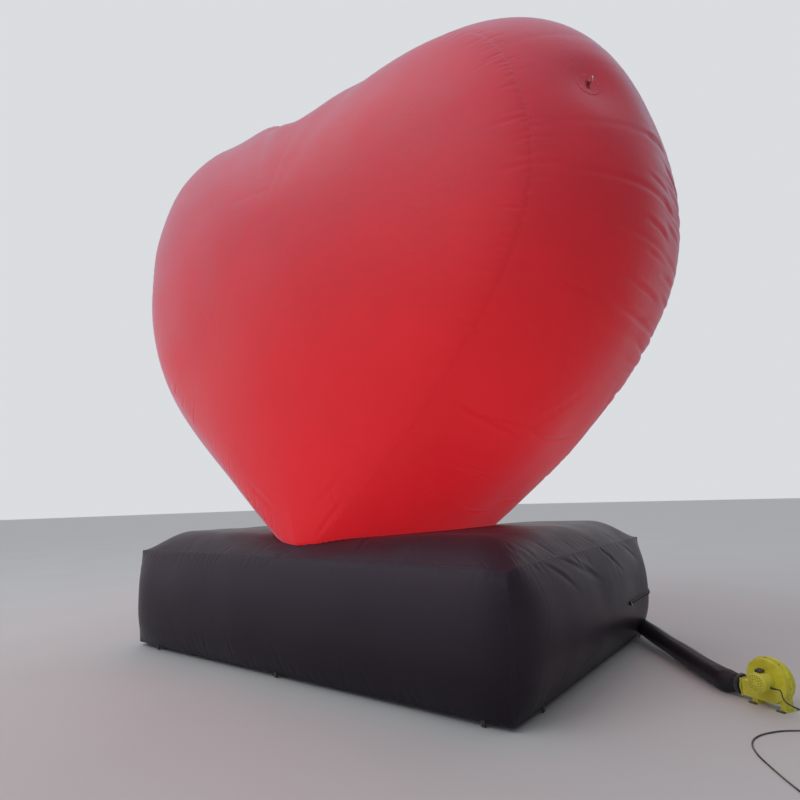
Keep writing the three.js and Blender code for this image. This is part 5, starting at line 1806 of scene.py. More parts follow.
@dataclass
class BlowerTrim:
    """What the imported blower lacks: bevels, screws, vents, switch and rubber feet."""

    wardrobe: Wardrobe
    centre: float = 0.172
    feet: tuple[float, float] = (-0.102, 0.094)
    flange_turns: tuple[int, ...] = (15, 55, 95, 135, 165, 320, 352)  # degrees of the scroll's screws
    flange_radius: float = 0.145
    cap_radius: float = 0.0525  # where the screws of the motor's cap sit

    def build(self) -> None:
        """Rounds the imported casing's edges and adds the small pieces."""
        for name, node in frame["nodes"].items():
            if name.startswith(("blower_", "impeller", "lead_")) and name not in ("lead_coil", "lead_plug"):
                rounding = node.modifiers.new("rounded edges", "BEVEL")
                rounding.width = 0.0012 if name.startswith("blower") else 0.0005
                rounding.segments = 2
                rounding.limit_method = "ANGLE"
                rounding.angle_limit = math.radians(40.0)
        self.flange_screws()
        self.motor_cap()
        self.switch()
        self.feet_pads()

    def flange_screws(self) -> None:
        """Makes the screws and nuts that hold the two halves of the scroll together."""
        bench = Bench("blower_flange_screws")
        for degrees in self.flange_turns:
            a = math.radians(degrees)
            x, z = self.flange_radius * math.cos(a), self.centre + self.flange_radius * math.sin(a)
            bench.drum((x, -0.0047, z), 0.0048, 0.0014, "Y", 24, 0.0003)
            bench.drum((x, -0.0068, z), 0.0038, 0.0032, "Y", 20, 0.0008)
            bench.cross((x, -0.0084, z), 0.0044, 0.0008, 0.001)
            bench.drum((x, 0.006, z), 0.0046, 0.0036, "Y", 6, 0.0004)
            bench.drum((x, 0.0085, z), 0.0023, 0.0036, "Y", 16, 0.0003)
        self.wardrobe.dress(bench.done(BLOWER), Look.PLATED_STEEL)

    def motor_cap(self) -> None:
        """Makes the louvred cap at the motor's end with its screws."""
        bench = Bench("blower_motor_cap")
        bench.drum((0.0, -0.1515, self.centre), 0.056, 0.006, "Y", 64, 0.0018)
        bench.drum((0.0, -0.1555, self.centre), 0.015, 0.004, "Y", 32, 0.001)
        self.wardrobe.dress(bench.done(BLOWER), Look.LIME_PLASTIC)
        bench = Bench("blower_motor_vents")
        for ring, count in ((0.024, 8), (0.036, 13), (0.047, 18)):
            for k in range(count):
                a = FULL * k / count
                bpy.ops.mesh.select_all(action="DESELECT")
                bpy.ops.mesh.primitive_cube_add(size=1.0)
                bpy.ops.transform.resize(value=(0.0086, 0.0014, 0.0034))
                bench.bevel(0.0006)
                bpy.ops.transform.translate(value=(0.0, -0.1546, ring))
                bpy.ops.transform.rotate(value=a, orient_axis="Y", center_override=(0.0, 0.0, 0.0))
        made = bench.done(BLOWER @ Matrix.Translation((0.0, 0.0, self.centre)))
        self.wardrobe.dress(made, Look.DARK_PLASTIC)
        bench = Bench("blower_motor_screws")
        for degrees in (45, 135, 225, 315):
            a = math.radians(degrees)
            x, z = self.cap_radius * math.cos(a), self.centre + self.cap_radius * math.sin(a)
            bench.drum((x, -0.1551, z), 0.003, 0.0026, "Y", 18, 0.0007)
            bench.cross((x, -0.1565, z), 0.0036, 0.0007, 0.0008)
        self.wardrobe.dress(bench.done(BLOWER), Look.PLATED_STEEL)

    def switch(self) -> None:
        """Makes the switch box on the motor with its rocker."""
        bench = Bench("blower_switch_box")
        bench.box((0.0, -0.098, self.centre + 0.07), (0.04, 0.052, 0.022), 0.004)
        bench.box((0.0, -0.098, self.centre + 0.082), (0.03, 0.04, 0.003), 0.001)
        self.wardrobe.dress(bench.done(BLOWER), Look.DARK_PLASTIC)
        bench = Bench("blower_rocker_switch")
        bench.box((0.0, 0.0, 0.0), (0.013, 0.021, 0.006), 0.0015)
        bpy.ops.mesh.select_all(action="SELECT")
        bpy.ops.transform.rotate(value=0.16, orient_axis="X", center_override=(0.0, 0.0, 0.0))
        made = bench.done(BLOWER @ Matrix.Translation((0.0, -0.098, self.centre + 0.0845)))
        self.wardrobe.dress(made, Look.BLACK_RUBBER)

    def feet_pads(self) -> None:
        """Makes the rubber pads and bolts of both feet."""
        bench = Bench("blower_foot_pads")
        for x in self.feet:
            for y in (-0.0675, 0.0675):
                bench.box((x, y, 0.0049), (0.055, 0.02, 0.0098), 0.0015)
        self.wardrobe.dress(bench.done(BLOWER), Look.BLACK_RUBBER)
        bench = Bench("blower_foot_bolts")
        for x in self.feet:
            for y in (-0.049, 0.049):
                bench.drum((x, y, 0.0087), 0.0058, 0.0014, "Z", 24, 0.0003)
                bench.drum((x, y, 0.0112), 0.0044, 0.0038, "Z", 6, 0.0005)
        self.wardrobe.dress(bench.done(BLOWER), Look.PLATED_STEEL)


# Mains lead


@dataclass
class MainsLead:
    """Black rubber lead with its wound spare length and its plug."""

    wardrobe: Wardrobe
    radius: float = 0.0045
    outer: float = 0.0545
    inner: float = 0.0455
    low: float = 0.0049
    high: float = 0.0139
    coil: tuple[float, float] = (3.852097, -1.58938)
    coil_turns: float = 3.39
    coil_start: float = 219.7  # degrees
    path: tuple[tuple[float, float, float], ...] = (
        (3.535666, -0.336824, 0.148), (3.561387, -0.351674, 0.148), (3.585698, -0.379567, 0.09),
        (3.775, -0.405, 0.0269), (3.785, -0.49, 0.0069), (3.69, -0.59, 0.0049), (3.56, -0.69, 0.0049),
        (3.465, -0.83, 0.0049), (3.44, -0.96, 0.0049), (3.475, -1.11, 0.0049), (3.57, -1.29, 0.0049),
        (3.69, -1.48, 0.0049), (3.79, -1.6, 0.0049),
    )

    def wound(self) -> np.ndarray:
        """Middle line of the spare length, from where it joins the coil to the plug."""
        turn = np.radians(np.arange(0.0, self.coil_turns * 360.0 + 0.1, 4.0))
        start = math.radians(self.coil_start)
        degrees = np.degrees(turn)
        last = degrees[-1]
        radius = self.outer + (self.inner - self.outer) * smooth(degrees, 355.0, 400.0)
        radius = radius + (self.outer - self.inner) * smooth(degrees, last - 75.0, last - 25.0)
        rise = self.low + (self.high - self.low) * smooth(degrees, 745.0, 810.0)
        x = self.coil[0] + radius * np.cos(turn + start)
        y = self.coil[1] + radius * np.sin(turn + start)
        return np.stack([x, y, rise], axis=-1)

    def build(self) -> None:
        """Makes the lead as a bevelled curve."""
        lead = rounded(np.array(self.path), 10)
        coil = self.wound()
        gap = np.linalg.norm(lead - coil[0], axis=1)
        lead = lead[: int(gap.argmin())]
        end = coil[-1] + np.array([0.0, 1.0, 0.0]) * np.linspace(0.004, 0.0337, 8)[:, None]
        end[:, 2] = np.linspace(self.high, 0.0092, 8)
        line = np.concatenate([lead, coil, end])
        length = float(run_length(line)[-1])
        plug = self.plug(line[-1])
        data = bpy.data.curves.new("mains_lead_cord", "CURVE")
        data.dimensions = "3D"
        data.bevel_depth = self.radius
        data.bevel_resolution = 4
        spline = data.splines.new("POLY")
        spline.points.add(len(line) - 1)
        for point, place in zip(spline.points, line):
            point.co = (*place, 1.0)
        spline.use_smooth = True
        made = linked("mains_lead_cord", data)
        made.data.materials.append(self.wardrobe[Look.BLACK_RUBBER])
        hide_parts("mains_lead", "lead_coil")
        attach(made, STILL)
        tuple(line[0])
        2 * self.radius
        log.info("mains lead made, %.3f m long", length)

    def plug(self, end: np.ndarray) -> bpy.types.Object:
        """Makes the moulded plug with its ribbed grip and two pins."""
        bench = Bench("lead_plug_moulded")
        bench.drum((0.0, -0.001, 0.0), 0.0062, 0.006, "Y", 32, 0.001)
        for k in range(6):
            bench.drum((0.0, 0.004 + 0.0042 * k, 0.0), 0.0064 + 0.0003 * k, 0.0026, "Y", 32, 0.0006)
        bench.drum((0.0, 0.014, 0.0), 0.0052, 0.03, "Y", 28)
        bench.box((0.0, 0.043, 0.0), (0.034, 0.028, 0.0158), 0.0042)
        bench.box((0.0, 0.0305, 0.0), (0.021, 0.008, 0.0135), 0.0032)
        place = Matrix.Translation(Vector((float(end[0]), float(end[1]), 0.0084)))
        body = self.wardrobe.dress(bench.done(place), Look.DARK_PLASTIC, ["lead_plug"])
        bench = Bench("lead_plug_pins")
        for x in (-0.0095, 0.0095):
            bench.drum((x, 0.0605, 0.0), 0.0024, 0.008, "Y", 24)
            bench.drum((x, 0.069, 0.0), 0.002, 0.0115, "Y", 24, 0.0008)
        pins = bench.done(place)
        self.wardrobe.dress(pins, Look.PLATED_STEEL)
        return body


# The studio


@dataclass
class Studio:
    """Camera, lights and floor."""

    place: tuple[float, float, float] = (3.98, -5.08, 1.46)
    yaw: float = 36.5
    pitch: float = 10.15
    roll: float = 1.6
    lens: float = 25.38
    sky: tuple[float, float, float] = (0.86, 0.88, 0.91)
    sky_strength: float = 0.82
    key_place: tuple[float, float, float] = (-4.0, -9.0, 17.0)
    key_aim: tuple[float, float, float] = (0.0, 0.0, 2.5)
    key_size: float = 12.0
    key_power: float = 620.0
    floor_half: float = 120.0
    shade: float = 0.25  # how much of the sky's light is left on the right
    shade_from: tuple[float, float] = (0.04, 0.8)  # share along X where the shade starts and is full

    def camera(self) -> bpy.types.Object:
        """Makes the camera that stands where the photograph was taken."""
        data = bpy.data.cameras.new("camera")
        data.lens = self.lens
        data.sensor_width = 36.0
        data.clip_end = 400.0
        made = linked("camera", data)
        yaw, pitch, roll = (math.radians(v) for v in (self.yaw, self.pitch, self.roll))
        right = Vector((math.cos(yaw), math.sin(yaw), 0))
        level = Vector((-math.sin(yaw), math.cos(yaw), 0))
        up = Vector((0, 0, 1))
        ahead = level * math.cos(pitch) + up * math.sin(pitch)
        above = up * math.cos(pitch) - level * math.sin(pitch)
        x = right * math.cos(roll) - above * math.sin(roll)
        y = right * math.sin(roll) + above * math.cos(roll)
        turned = Matrix((x, y, -ahead)).transposed().to_4x4()
        made.matrix_world = Matrix.Translation(self.place) @ turned
        bpy.context.scene.camera = made
        return made

    def light(
        self, name: str, place: Sequence[float], aim: Sequence[float], size: float, power: float
    ) -> None:
        """Adds a large soft lamp.

        Args:
            name: Its name.
            place: Where it hangs.
            aim: What it points at.
            size: Its width.
            power: Its power in watts.
        """
        data = bpy.data.lights.new(name, "AREA")
        data.shape = "DISK"
        data.size = size
        data.energy = power
        made = linked(name, data)
        made.location = place
        made.rotation_mode = "QUATERNION"
        made.rotation_quaternion = (Vector(aim) - Vector(place)).to_track_quat("-Z", "Y")

    def sky_light(self) -> None:
        """Makes the pale, even sky."""
        world = bpy.data.worlds.new("sky")
        world.use_nodes = True
        tree = Tree(world.node_tree)
        across = tree.node("SeparateXYZ", {0: tree.node("TexCoord").outputs["Generated"]}).outputs["X"]
        shaded = tree.ranged(across, *self.shade_from, 0.0, 1.0)
        back = world.node_tree.nodes["Background"]
        tree.give(back.inputs["Color"], tree.mixed(shaded, self.sky, tuple(self.shade * c for c in self.sky)))
        back.inputs["Strength"].default_value = self.sky_strength
        bpy.context.scene.world = world

    def floor(self, material: bpy.types.Material) -> None:
        """Lays the plain pale floor."""
        edge = self.floor_half
        corners = np.array([[-edge, -edge, 0], [edge, -edge, 0], [edge, edge, 0], [-edge, edge, 0]])
        made = Sheet(corners, [np.array([[0, 1, 2, 3]])]).piece("floor", (0, 0, -1))
        made.data.materials.append(material)

    def build(self, floor_material: bpy.types.Material) -> None:
        """Makes all but the camera."""
        self.sky_light()
        self.light("key", self.key_place, self.key_aim, self.key_size, self.key_power)
        self.floor(floor_material)
        scene = bpy.context.scene
        scene.view_settings.view_transform = "Standard"
        scene.view_settings.look = "None"


# Pieces


# Creases of the right flank. Each has its given depth, and its path by turn and profile
# value, worked out from places in the photograph.
FLANK_CREASES = (
    (0.016, (87.5, -0.119), (87.0, -0.086), (86.0, -0.034), (85.5, 0.023)),
    (0.009, (94.0, -0.126), (94.0, -0.076), (94.0, -0.016)),
    (0.009, (92.5, -0.056), (91.5, 0.001), (91.5, 0.038)),
    (0.014, (100.5, -0.129), (100.5, -0.091), (100.5, -0.056), (101.0, -0.009)),
    (0.009, (104.5, -0.109), (104.5, -0.066), (104.0, -0.004)),
    (0.015, (110.0, -0.144), (109.5, -0.106), (109.5, -0.044), (109.5, 0.028)),
    (0.014, (114.0, -0.139), (113.5, -0.099), (113.5, -0.051), (113.0, 0.009)),
    (0.012, (139.5, -0.276), (139.5, -0.231), (139.0, -0.191), (139.0, -0.156)),
    (0.01, (137.0, -0.149), (137.5, -0.094), (137.0, -0.031), (136.0, 0.019)),
    (0.01, (137.0, -0.149), (135.0, -0.136), (133.0, -0.121), (126.0, -0.066)),
    (0.008, (140.0, -0.264), (136.5, -0.151)),
    (0.011, (150.0, -0.251), (148.5, -0.211), (148.0, -0.166), (147.5, -0.129)),
    (0.01, (155.0, -0.254), (155.5, -0.201), (155.5, -0.164)),
    (0.008, (152.5, -0.269), (154.0, -0.201), (156.5, -0.114)),
    (0.009, (155.5, -0.134), (155.5, -0.061), (155.5, -0.011)),
    (0.008, (119.5, -0.289), (122.0, -0.254)),
    (0.006, (126.0, -0.418), (126.0, -0.281)),
)


NOTCH_PATH = (  # crease below the notch, worked out in the same way
    (-55.0, -0.81), (-48.5, -0.831), (-40.0, -0.844), (-28.0, -0.853), (-12.5, -0.859), (6.0, -0.863),
    (21.5, -0.861),
)

FLANK_TURNS = (62.0, 84.0, 92.0, 118.0, 128.0, 146.0)  # turns at which the flank's long folds change depth
FLANK_SHARES = (0.0, 0.35, 1.0, 1.0, 0.55, 0.0)  # their share of the full depth there


def heart_creases() -> tuple[Crease, ...]:
    """Long creases: the right flank's, their like on the sides not seen, the foot's and the notch's."""
    rng = np.random.default_rng(77)
    made = [Crease(path, depth) for depth, *path in FLANK_CREASES]
    for side in (-1, 1):
        for depth, *path in FLANK_CREASES:
            shift, slide = rng.uniform(-7.0, 7.0), rng.uniform(-0.05, 0.05)
            mirrored = tuple((side * min(turn + shift, 168.0), -t + slide) for turn, t in path)
            made.append(Crease(mirrored, depth * rng.uniform(0.6, 1.1)))
    for side in (1, -1):
        for t in np.linspace(-0.46, 0.46, 13):
            start, reach = rng.uniform(174.0, 177.0), rng.uniform(6.0, 13.0)
            lean = rng.uniform(-0.015, 0.015)
            middle, end = side * (start - reach / 2), side * (start - reach)
            path = ((side * start, t), (middle, t + lean), (end, t + lean))
            made.append(Crease(path, rng.uniform(0.005, 0.011), rng.uniform(0.014, 0.022)))
    made.append(Crease(NOTCH_PATH, 0.004, 0.02, 0.05))
    return tuple(made)


@dataclass
class Heart:
    """The red envelope: two domed faces and a band round the edge in two halves."""

    form: HeartForm
    plinth: PlinthForm
    wardrobe: Wardrobe
    columns: int = 900  # along half a seam
    near_rows: int = 18
    near: float = 0.4  # width of the zone beside a seam that has the finest mesh
    band_rows: int = 58
    band_crowd: float = 0.45  # how far the band's rows crowd to its seams
    near_crowd: float = 1.4
    far_crowd: float = 0.93
    samples: int = 181  # points by which a face's own length is measured
    far_rows: int = 46  # rows of a face from there to its middle, with both ends
    fine_rows: int = 34  # how many of them have a quarter of the seam's columns
    groove: tuple[float, float] = (0.003, 0.018)  # depth and width of the line along a seam
    seam_reach: float = 0.08  # distance from a seam over which the two panels' directions meet
    crease_from: float = 0.05  # distance from a seam over which the creases rise
    tether_clear: tuple[float, float] = (0.1, 0.26)  # distances from a tether over which the folds rise
    seat_gap: float = 0.002  # height over the plinth at which a panel ends
    seat_deep: float = 0.05  # depth below it from which a panel is left out

    def __post_init__(self) -> None:
        """Works out what all panels share."""
        self.creases = heart_creases()
        self.turns = {side: self.form.seam_turns(side, self.columns) for side in (1, -1)}
        seam = {s: self.form.points(self.turns[s], -self.form.seam) for s in (1, -1)}
        self.along = {s: run_length(seam[s]) for s in (1, -1)}
        self.swells = Swells(11)

    def seam_normals(self, turn: np.ndarray, sign: float) -> np.ndarray:
        """Outward directions on a long seam, midway between its two panels'."""
        t = self.form.seam * sign
        step = 0.01
        return unit(self.form.normals(turn, t - step) + self.form.normals(turn, t + step))

    def lifted(self, turn: np.ndarray, t: np.ndarray, away: np.ndarray, height: np.ndarray) -> np.ndarray:
        """Points of a panel with all its folds.

        Args:
            turn: Turns in degrees.
            t: Profile values.
            away: Distance from the nearest long seam.
            height: Height of the gathers there.

        Returns:
            Points of the same shape.
        """
        base = self.form.points(turn, t)
        normal = self.form.normals(turn, t)
        sign = np.where(t < 0, -1.0, 1.0)
        at_seam = np.where(
            (sign < 0)[..., None], self.seam_normals(turn, -1.0), self.seam_normals(turn, 1.0)
        )
        own = smooth(away, 0.0, self.seam_reach)[..., None]
        normal = unit(at_seam * (1 - own) + normal * own)
        flat = base.reshape(-1, 3)
        total = height.reshape(-1) + self.swells.heights(flat)
        depth, width = self.groove
        total += (-depth * bell(away, width)).reshape(-1)
        for crease in self.creases:
            total += crease.heights(flat, self.form.points) * smooth(away, 0.0, self.crease_from).reshape(-1)
        total *= smooth(self.form.from_tether(turn, t), *self.tether_clear).reshape(-1)
        return base + normal * total.reshape(away.shape)[..., None]

    def seated(self, sheet: Sheet) -> Sheet:
        """Ends a panel on the plinth's top."""
        x, y, z = sheet.points.T
        top = self.plinth.top_at(x, y) + self.seat_gap
        deep = z < top - self.seat_deep
        sheet.points[:, 2] = np.where(z < top, top, z)
        return sheet.without(deep)

    def face(self, name: str, sign: int) -> bpy.types.Object:
        """Makes one domed face.

        Args:
            name: front or back.
            sign: -1 for the front, 1 for the back.

        Returns:
            The piece.
        """
        right, left = self.turns[1], self.turns[-1]
        ring = np.concatenate([right, left[-2:0:-1]])
        reach = np.concatenate([self.along[1], 2 * self.along[1][-1] + self.along[-1][-1]
                                - self.along[-1][-2:0:-1] - self.along[1][-1]])
        dense = self.form.seam + (1 - self.form.seam) * np.linspace(0.0, 1.0, self.samples)
        run = run_length(self.form.points(ring[None, :], sign * dense[:, None]))
        total = run[-1]
        near = self.near * np.linspace(0.0, 1.0, self.near_rows) ** self.near_crowd
        far = np.linspace(0.0, 1.0, self.far_rows)[1:-1] ** self.far_crowd
        counts, points, flat, seam = [], [], [], []
        gathers = Gathers(21 if sign < 0 else 22, pitch=0.048, depth=(0.002, 0.006), reach=(0.08, 0.26))
        for zone, step in ((near, 1), (far[: self.fine_rows], 4), (far[self.fine_rows:], 16)):
            turn, along, arc = ring[::step], reach[::step], run[:, ::step]
            columns = len(turn)
            if zone is near:
                away = np.broadcast_to(zone[:, None], (len(zone), columns)).copy()
            else:
                away = self.near + (total[::step][None, :] - self.near) * zone[:, None]
            t = np.stack([np.interp(away[:, j], arc[:, j], dense) for j in range(columns)], axis=1)
            height = gathers.heights(along, away)
            turn_grid = np.broadcast_to(turn[None, :], t.shape)
            lifted = self.lifted(turn_grid, sign * t, away, height)
            points.append(lifted.reshape(-1, 3))
            out = (total[::step][None, :] - away)[..., None]
            angle = np.radians(turn_grid)
            compass = np.stack([np.sin(angle), np.cos(angle)], axis=-1)
            flat.append((compass * out).reshape(-1, 2))
            seam.append(paired(along, away))
            counts += [columns] * len(zone)
        middle = self.form.points(np.array([0.0]), np.array([float(sign)]))
        middle += self.swells.heights(middle)[:, None] * np.array([0.0, sign, 0.0])
        sheet = Sheet(
            np.concatenate([*points, middle]), flat=np.concatenate([*flat, np.zeros((1, 2))]),
            seam=np.concatenate([*seam, [[0.0, 9.0]]]),
        )
        sheet.rings([*counts, 1])
        made = self.seated(sheet).piece(f"heart_{name}_face", (0.0, 0.0, self.form.pole))
        self.wardrobe.dress(made, Look.RED_CLOTH, [f"heart_{name}_right", f"heart_{name}_left"])
        return made

    def band(self, name: str, side: int) -> bpy.types.Object:
        """Makes the band of one side.

        Args:
            name: right or left.
            side: 1 for the right, -1 for the left.

        Returns:
            The piece.
        """
        turn, along = self.turns[side], self.along[side]
        u = np.linspace(-1.0, 1.0, self.band_rows)
        share = (1.0 - self.band_crowd) * u + self.band_crowd * np.sin(u * math.pi / 2)
        t = np.broadcast_to((self.form.seam * share)[:, None], (self.band_rows, len(turn)))
        grid = np.broadcast_to(turn[None, :], t.shape)
        run = run_length(self.form.points(grid, t))
        total = run[-1][None, :]
        front = Gathers(31, pitch=0.048, depth=(0.002, 0.006), reach=(0.08, 0.24)).heights(along, run)
        back = Gathers(32 + side, reach=(0.12, 0.6), depth=(0.002, 0.006)).heights(along, total - run)
        places = np.abs(turn)

        def share_at(distance: float) -> float:
            """Share of the full depth that a flank's fold has at a distance along the seam."""
            return float(np.interp(np.interp(distance, along, places), FLANK_TURNS, FLANK_SHARES))

        flank = Gathers(
            52 + side, pitch=0.062, depth=(0.005, 0.012), width=(0.016, 0.026), reach=(1.75, 2.25),
            slant=0.03, hold=0.72,
        )
        back = back + flank.heights(along, total - run, share_at)
        away = np.minimum(run, total - run)
        lifted = self.lifted(grid, t, away, front + back)
        sheet = Sheet(
            lifted.reshape(-1, 3), flat=paired(along[None, :], run), seam=paired(along[None, :], away),
        )
        sheet.grid(self.band_rows, len(turn))
        made = self.seated(sheet).piece(f"heart_{name}_band", (0.0, 0.0, self.form.pole))
        nodes = [f"heart_band_{level}_{name}" for level in ("upper", "lower")]
        self.wardrobe.dress(made, Look.RED_CLOTH, nodes)
        return made

    def build(self) -> None:
        """Makes the envelope."""
        self.face("front", -1)
        self.face("back", 1)
        self.band("right", 1)
        self.band("left", -1)


PLINTH_PULLS = (  # over the upper edges and beside the heart's foot: depth, width and path of each
    (0.0079, 0.022, (2.06, -1.30, 1.17), (2.20, -1.25, 1.06), (2.29, -1.16, 0.93)),
    (0.0086, 0.0231, (2.02, -1.18, 1.18), (2.27, -1.05, 1.0), (2.32, -0.80, 0.86), (2.34, -0.62, 0.74)),
    (0.0086, 0.0242, (1.96, -0.92, 1.18), (2.26, -0.72, 1.0), (2.33, -0.35, 0.86), (2.34, -0.05, 0.74)),
    (0.0072, 0.022, (2.24, -0.50, 1.03), (2.31, -0.38, 0.92), (2.34, -0.10, 0.78)),
    (0.0072, 0.0231, (2.1, 0.08, 1.14), (2.28, 0.30, 0.95), (2.34, 0.62, 0.72)),
    (0.0065, 0.022, (2.12, 0.62, 1.13), (2.28, 0.90, 0.97), (2.33, 1.24, 0.76)),
    (0.0065, 0.022, (2.32, -0.36, 0.24), (2.29, -0.66, 0.16)),
    (0.0144, 0.0308, (0.24, -1.28, 1.15), (0.15, -1.44, 1.12), (0.02, -1.56, 1.04), (-0.06, -1.62, 0.95)),
    (0.0065, 0.0242, (0.75, -1.2, 1.16), (0.84, -1.42, 1.12), (0.9, -1.54, 1.05)),
    (0.0079, 0.0231, (-2.08, -1.0, 1.15), (-2.24, -0.85, 1.0), (-2.32, -0.6, 0.84)),
    (0.0072, 0.0231, (-2.1, -0.35, 1.15), (-2.27, -0.2, 0.98), (-2.33, 0.1, 0.8)),
    (0.0079, 0.0231, (-2.1, 0.5, 1.15), (-2.28, 0.7, 0.96), (-2.33, 1.0, 0.78)),
    (0.0065, 0.0231, (-1.5, -1.4, 1.16), (-1.35, -1.58, 1.0), (-1.1, -1.66, 0.84)),
    (0.0072, 0.0231, (1.5, 1.4, 1.16), (1.3, 1.58, 1.0), (1.0, 1.67, 0.82)),
    (0.0072, 0.0231, (0.4, 1.42, 1.14), (0.3, 1.58, 1.0), (0.1, 1.66, 0.82)),
    (0.0079, 0.0231, (-1.0, 1.42, 1.16), (-1.2, 1.58, 1.0), (-1.45, 1.66, 0.84)),
)
PLINTH_CREASES = tuple(Crease(tuple(path), depth, width) for depth, width, *path in PLINTH_PULLS)


@dataclass
class Plinth:
    """The black inflated plinth, a panel for each side."""

    form: PlinthForm
    wardrobe: Wardrobe
    fine: float = 0.012
    levels: int = 64

    def folds(self, points: np.ndarray, away: np.ndarray, side: Sequence[float]) -> np.ndarray:
        """Height of the creases and slow swells at a panel's points, nothing at its edges."""
        flat = points.reshape(-1, 3)
        total = Swells(19, height=0.003, lengths=(0.35, 1.1)).heights(flat)
        for crease in PLINTH_CREASES:
            total = total + crease.heights(flat, side=side)
        return total.reshape(away.shape) * smooth(away, 0.0, 0.045)

    def wall(self, name: str, turn: float, half: float, out: float) -> bpy.types.Object:
        """Makes one wall.

        Args:
            name: Which side it closes.
            turn: Degrees that it is turned from the front.
            half: Half its length.
            out: Distance of its sewn edges from the middle.

        Returns:
            The piece.
        """
        columns = int(2 * half / self.fine)
        a = np.linspace(-half, half, columns + 1)
        up = 0.5 - 0.5 * np.cos(np.linspace(0.0, math.pi, self.levels + 1))
        up = 0.6 * np.linspace(0, 1, self.levels + 1) + 0.4 * up
        grid, level = np.meshgrid(a, up)
        swell = self.form.wall_out(grid, level, half)
        height = self.form.top - self.form.bottom
        z = self.form.bottom + height * level
        to_side = half - np.abs(grid)
        away = np.minimum(np.minimum(level, 1 - level) * height, to_side)
        angle = math.radians(turn)
        spin = np.array([[math.cos(angle), math.sin(angle), 0],
                         [-math.sin(angle), math.cos(angle), 0], [0, 0, 1]])
        base = np.stack([grid, -(out + swell), z], axis=-1) @ spin
        corner = smooth(to_side, 0.0, 0.06)
        for seed, edge in ((141, (1 - level) * height), (241, level * height)):
            gathers = Gathers(
                seed + int(turn), pitch=0.055, depth=(0.001, 0.0035), reach=(0.05, 0.26), slant=0.35,
            )
            swell = swell + gathers.heights(a + half, edge) * corner
        middle = columns // 2 + 1
        # each part is a view of swell, so what is added to it is added to swell
        parts = ((341, to_side[:, :middle], swell[:, :middle]),
                 (441, to_side[:, middle:][:, ::-1], swell[:, middle:][:, ::-1]))
        ends = smooth(np.minimum(up, 1 - up) * height, 0.0, 0.06)[:, None]
        for seed, edge, part in parts:
            upright = Gathers(seed + int(turn), depth=(0.001, 0.003), reach=(0.06, 0.2), slant=0.3)
            part += upright.heights(z[:, 0], np.ascontiguousarray(edge.T)).T * ends
        swell = swell + self.folds(base, away, (0.0, 0.0, 1.0))
        points = self.form.drawn(np.stack([grid, -(out + swell), z], axis=-1) @ spin)
        by_side = to_side < np.minimum(level, 1 - level) * height
        sheet = Sheet(
            points.reshape(-1, 3), flat=paired(grid, z), seam=paired(np.where(by_side, z, grid), away),
        )
        sheet.grid(self.levels + 1, columns + 1)
        made = sheet.piece(f"plinth_{name}_wall", (0, 0, 0.5))
        self.wardrobe.dress(made, Look.BLACK_CLOTH, [f"plinth_{name}"])
        return made

    def lid(
        self, name: str, height: Callable[[np.ndarray, np.ndarray], np.ndarray], fine: float
    ) -> bpy.types.Object:
        """Makes the top or the underside.

        Args:
            name: top or bottom.
            height: Gives its height at a place.
            fine: Length of its mesh's sides at the sewn edges.

        Returns:
            The piece.
        """
        form = self.form
        nx, ny = (4 * round(2 * half / fine / 4) for half in (form.half_x, form.half_y))
        x = np.linspace(-1, 1, nx + 1)[:-1]
        y = np.linspace(-1, 1, ny + 1)[:-1]
        one = np.ones
        rim = np.concatenate([
            np.stack([x, -one(nx)], -1), np.stack([one(ny), y], -1),
            np.stack([-x, one(nx)], -1), np.stack([-one(ny), -y], -1),
        ])
        reach = run_length(rim * (form.half_x, form.half_y))
        upper = name == "top"
        gathers = Gathers(61, pitch=0.055, depth=(0.001, 0.0035), reach=(0.06, 0.28), slant=0.3)
        shares = [1.0 - 0.24 * np.linspace(0, 1, 20) ** 1.2, np.linspace(0.745, 0.02, 34)]
        counts, points, seam = [], [], []
        for zone, step in zip(shares, (1, 4)):
            place = rim[::step][None] * zone[:, None, None]
            px, py = place[..., 0] * form.half_x, place[..., 1] * form.half_y
            to_x, to_y = form.half_x - np.abs(px), form.half_y - np.abs(py)
            away = np.minimum(to_x, to_y)
            z = height(px, py)
            if upper:
                fold = gathers.heights(reach[::step], away) * smooth(np.maximum(to_x, to_y), 0.0, 0.1)
                base = np.stack([px, py, z], axis=-1)
                fold = fold + self.folds(base, away, (0.0, -1.0, 0.0))
                z = z + fold
            points.append(paired(px, py, z))
            seam.append(paired(np.where(to_x < to_y, py, px), away))
            counts += [len(rim[::step])] * len(zone)
        zero = np.zeros(1)
        points.append(paired(zero, zero, height(zero, zero)))
        seam.append(np.array([[0.0, 1.5]]))
        points = np.concatenate(points)
        flat = points[:, :2].copy()
        points = form.drawn(points)
        sheet = Sheet(points, flat=flat, seam=np.concatenate(seam)).rings([*counts, 1])
        made = sheet.piece(f"plinth_{name}_panel", (0, 0, 0.5))
        self.wardrobe.dress(made, Look.BLACK_CLOTH, [f"plinth_{name}"])
        return made

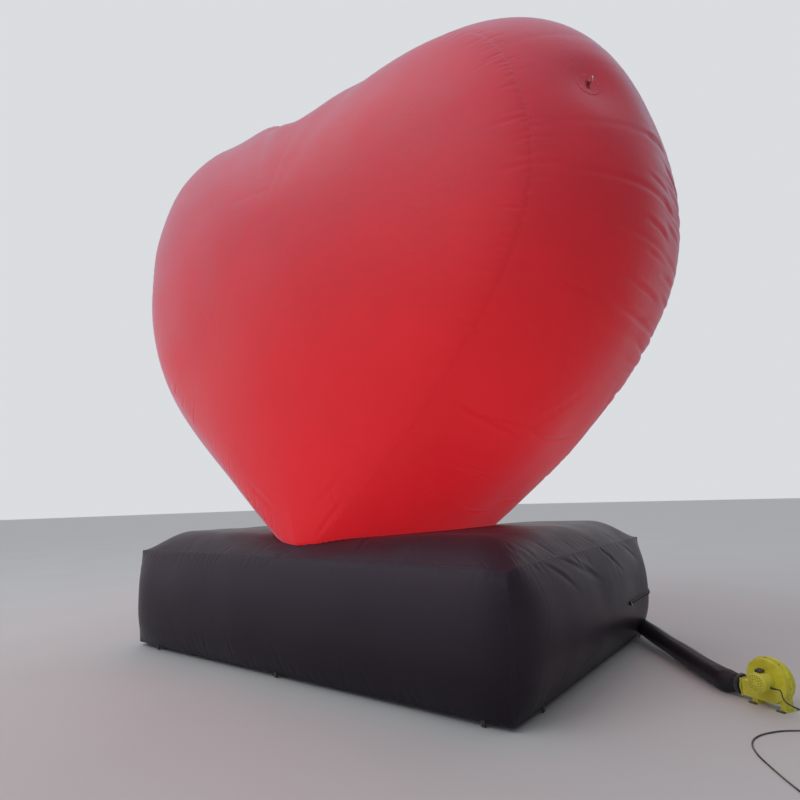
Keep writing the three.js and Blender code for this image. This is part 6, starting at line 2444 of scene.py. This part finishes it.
    def build(self) -> None:
        """Makes the six panels."""
        half_x, half_y = self.form.half_x, self.form.half_y
        for name, turn, half, out in (
            ("front", 0.0, half_x, half_y), ("back", 180.0, half_x, half_y),
            ("right", 90.0, half_y, half_x), ("left", -90.0, half_y, half_x),
        ):
            self.wall(name, turn, half, out)
        self.lid("top", self.form.top_at, 0.012)
        self.lid("bottom", self.form.bottom_at, 0.05)


NODE_FINISHES = {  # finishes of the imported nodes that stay, by the start of their names
    "tether_patch": Look.RED_CLOTH,
    "tether_strap": Look.RED_WEBBING,
    "tether_ring": Look.PLATED_STEEL,
    "ground_loop": Look.BLACK_WEBBING,
    "zip_tape": Look.BLACK_WEBBING,
    "zip_pull": Look.PLATED_STEEL,
    "inflation_tube": Look.TUBE_CLOTH,
    "tube_cuff": Look.TUBE_CLOTH,
    "tube_clamp_strap": Look.BLACK_WEBBING,
    "blower_inlet_grille": Look.DARK_PLASTIC,
    "blower": Look.LIME_PLASTIC,
    "impeller": Look.DARK_PLASTIC,
    "lead_strain_relief": Look.BLACK_RUBBER,
    "lead_plug": Look.DARK_PLASTIC,
    "mains_lead": Look.BLACK_RUBBER,
    "lead_coil": Look.BLACK_RUBBER,
}


def dress_nodes(wardrobe: Wardrobe) -> None:
    """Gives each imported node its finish."""
    for name, node in frame["nodes"].items():
        for start, look in NODE_FINISHES.items():
            if name.startswith(start):
                node.data.materials.clear()
                node.data.materials.append(wardrobe[look])
                break


def main() -> None:
    """Makes the camera, the cords, the pieces and the studio."""
    studio = Studio()
    studio.camera()
    wardrobe = Wardrobe()
    MainsLead(wardrobe).build()
    dress_nodes(wardrobe)
    plinth_form = PlinthForm()
    heart_form = HeartForm()
    Heart(heart_form, plinth_form, wardrobe).build()
    Plinth(plinth_form, wardrobe).build()
    Tethers(heart_form, wardrobe).build()
    GroundLoops(plinth_form, wardrobe).build()
    DeflationZip(plinth_form, wardrobe).build()
    Duct(wardrobe).build()
    BlowerTrim(wardrobe).build()
    studio.build(wardrobe[Look.FLOOR])


if __name__ == "__main__":
    main()
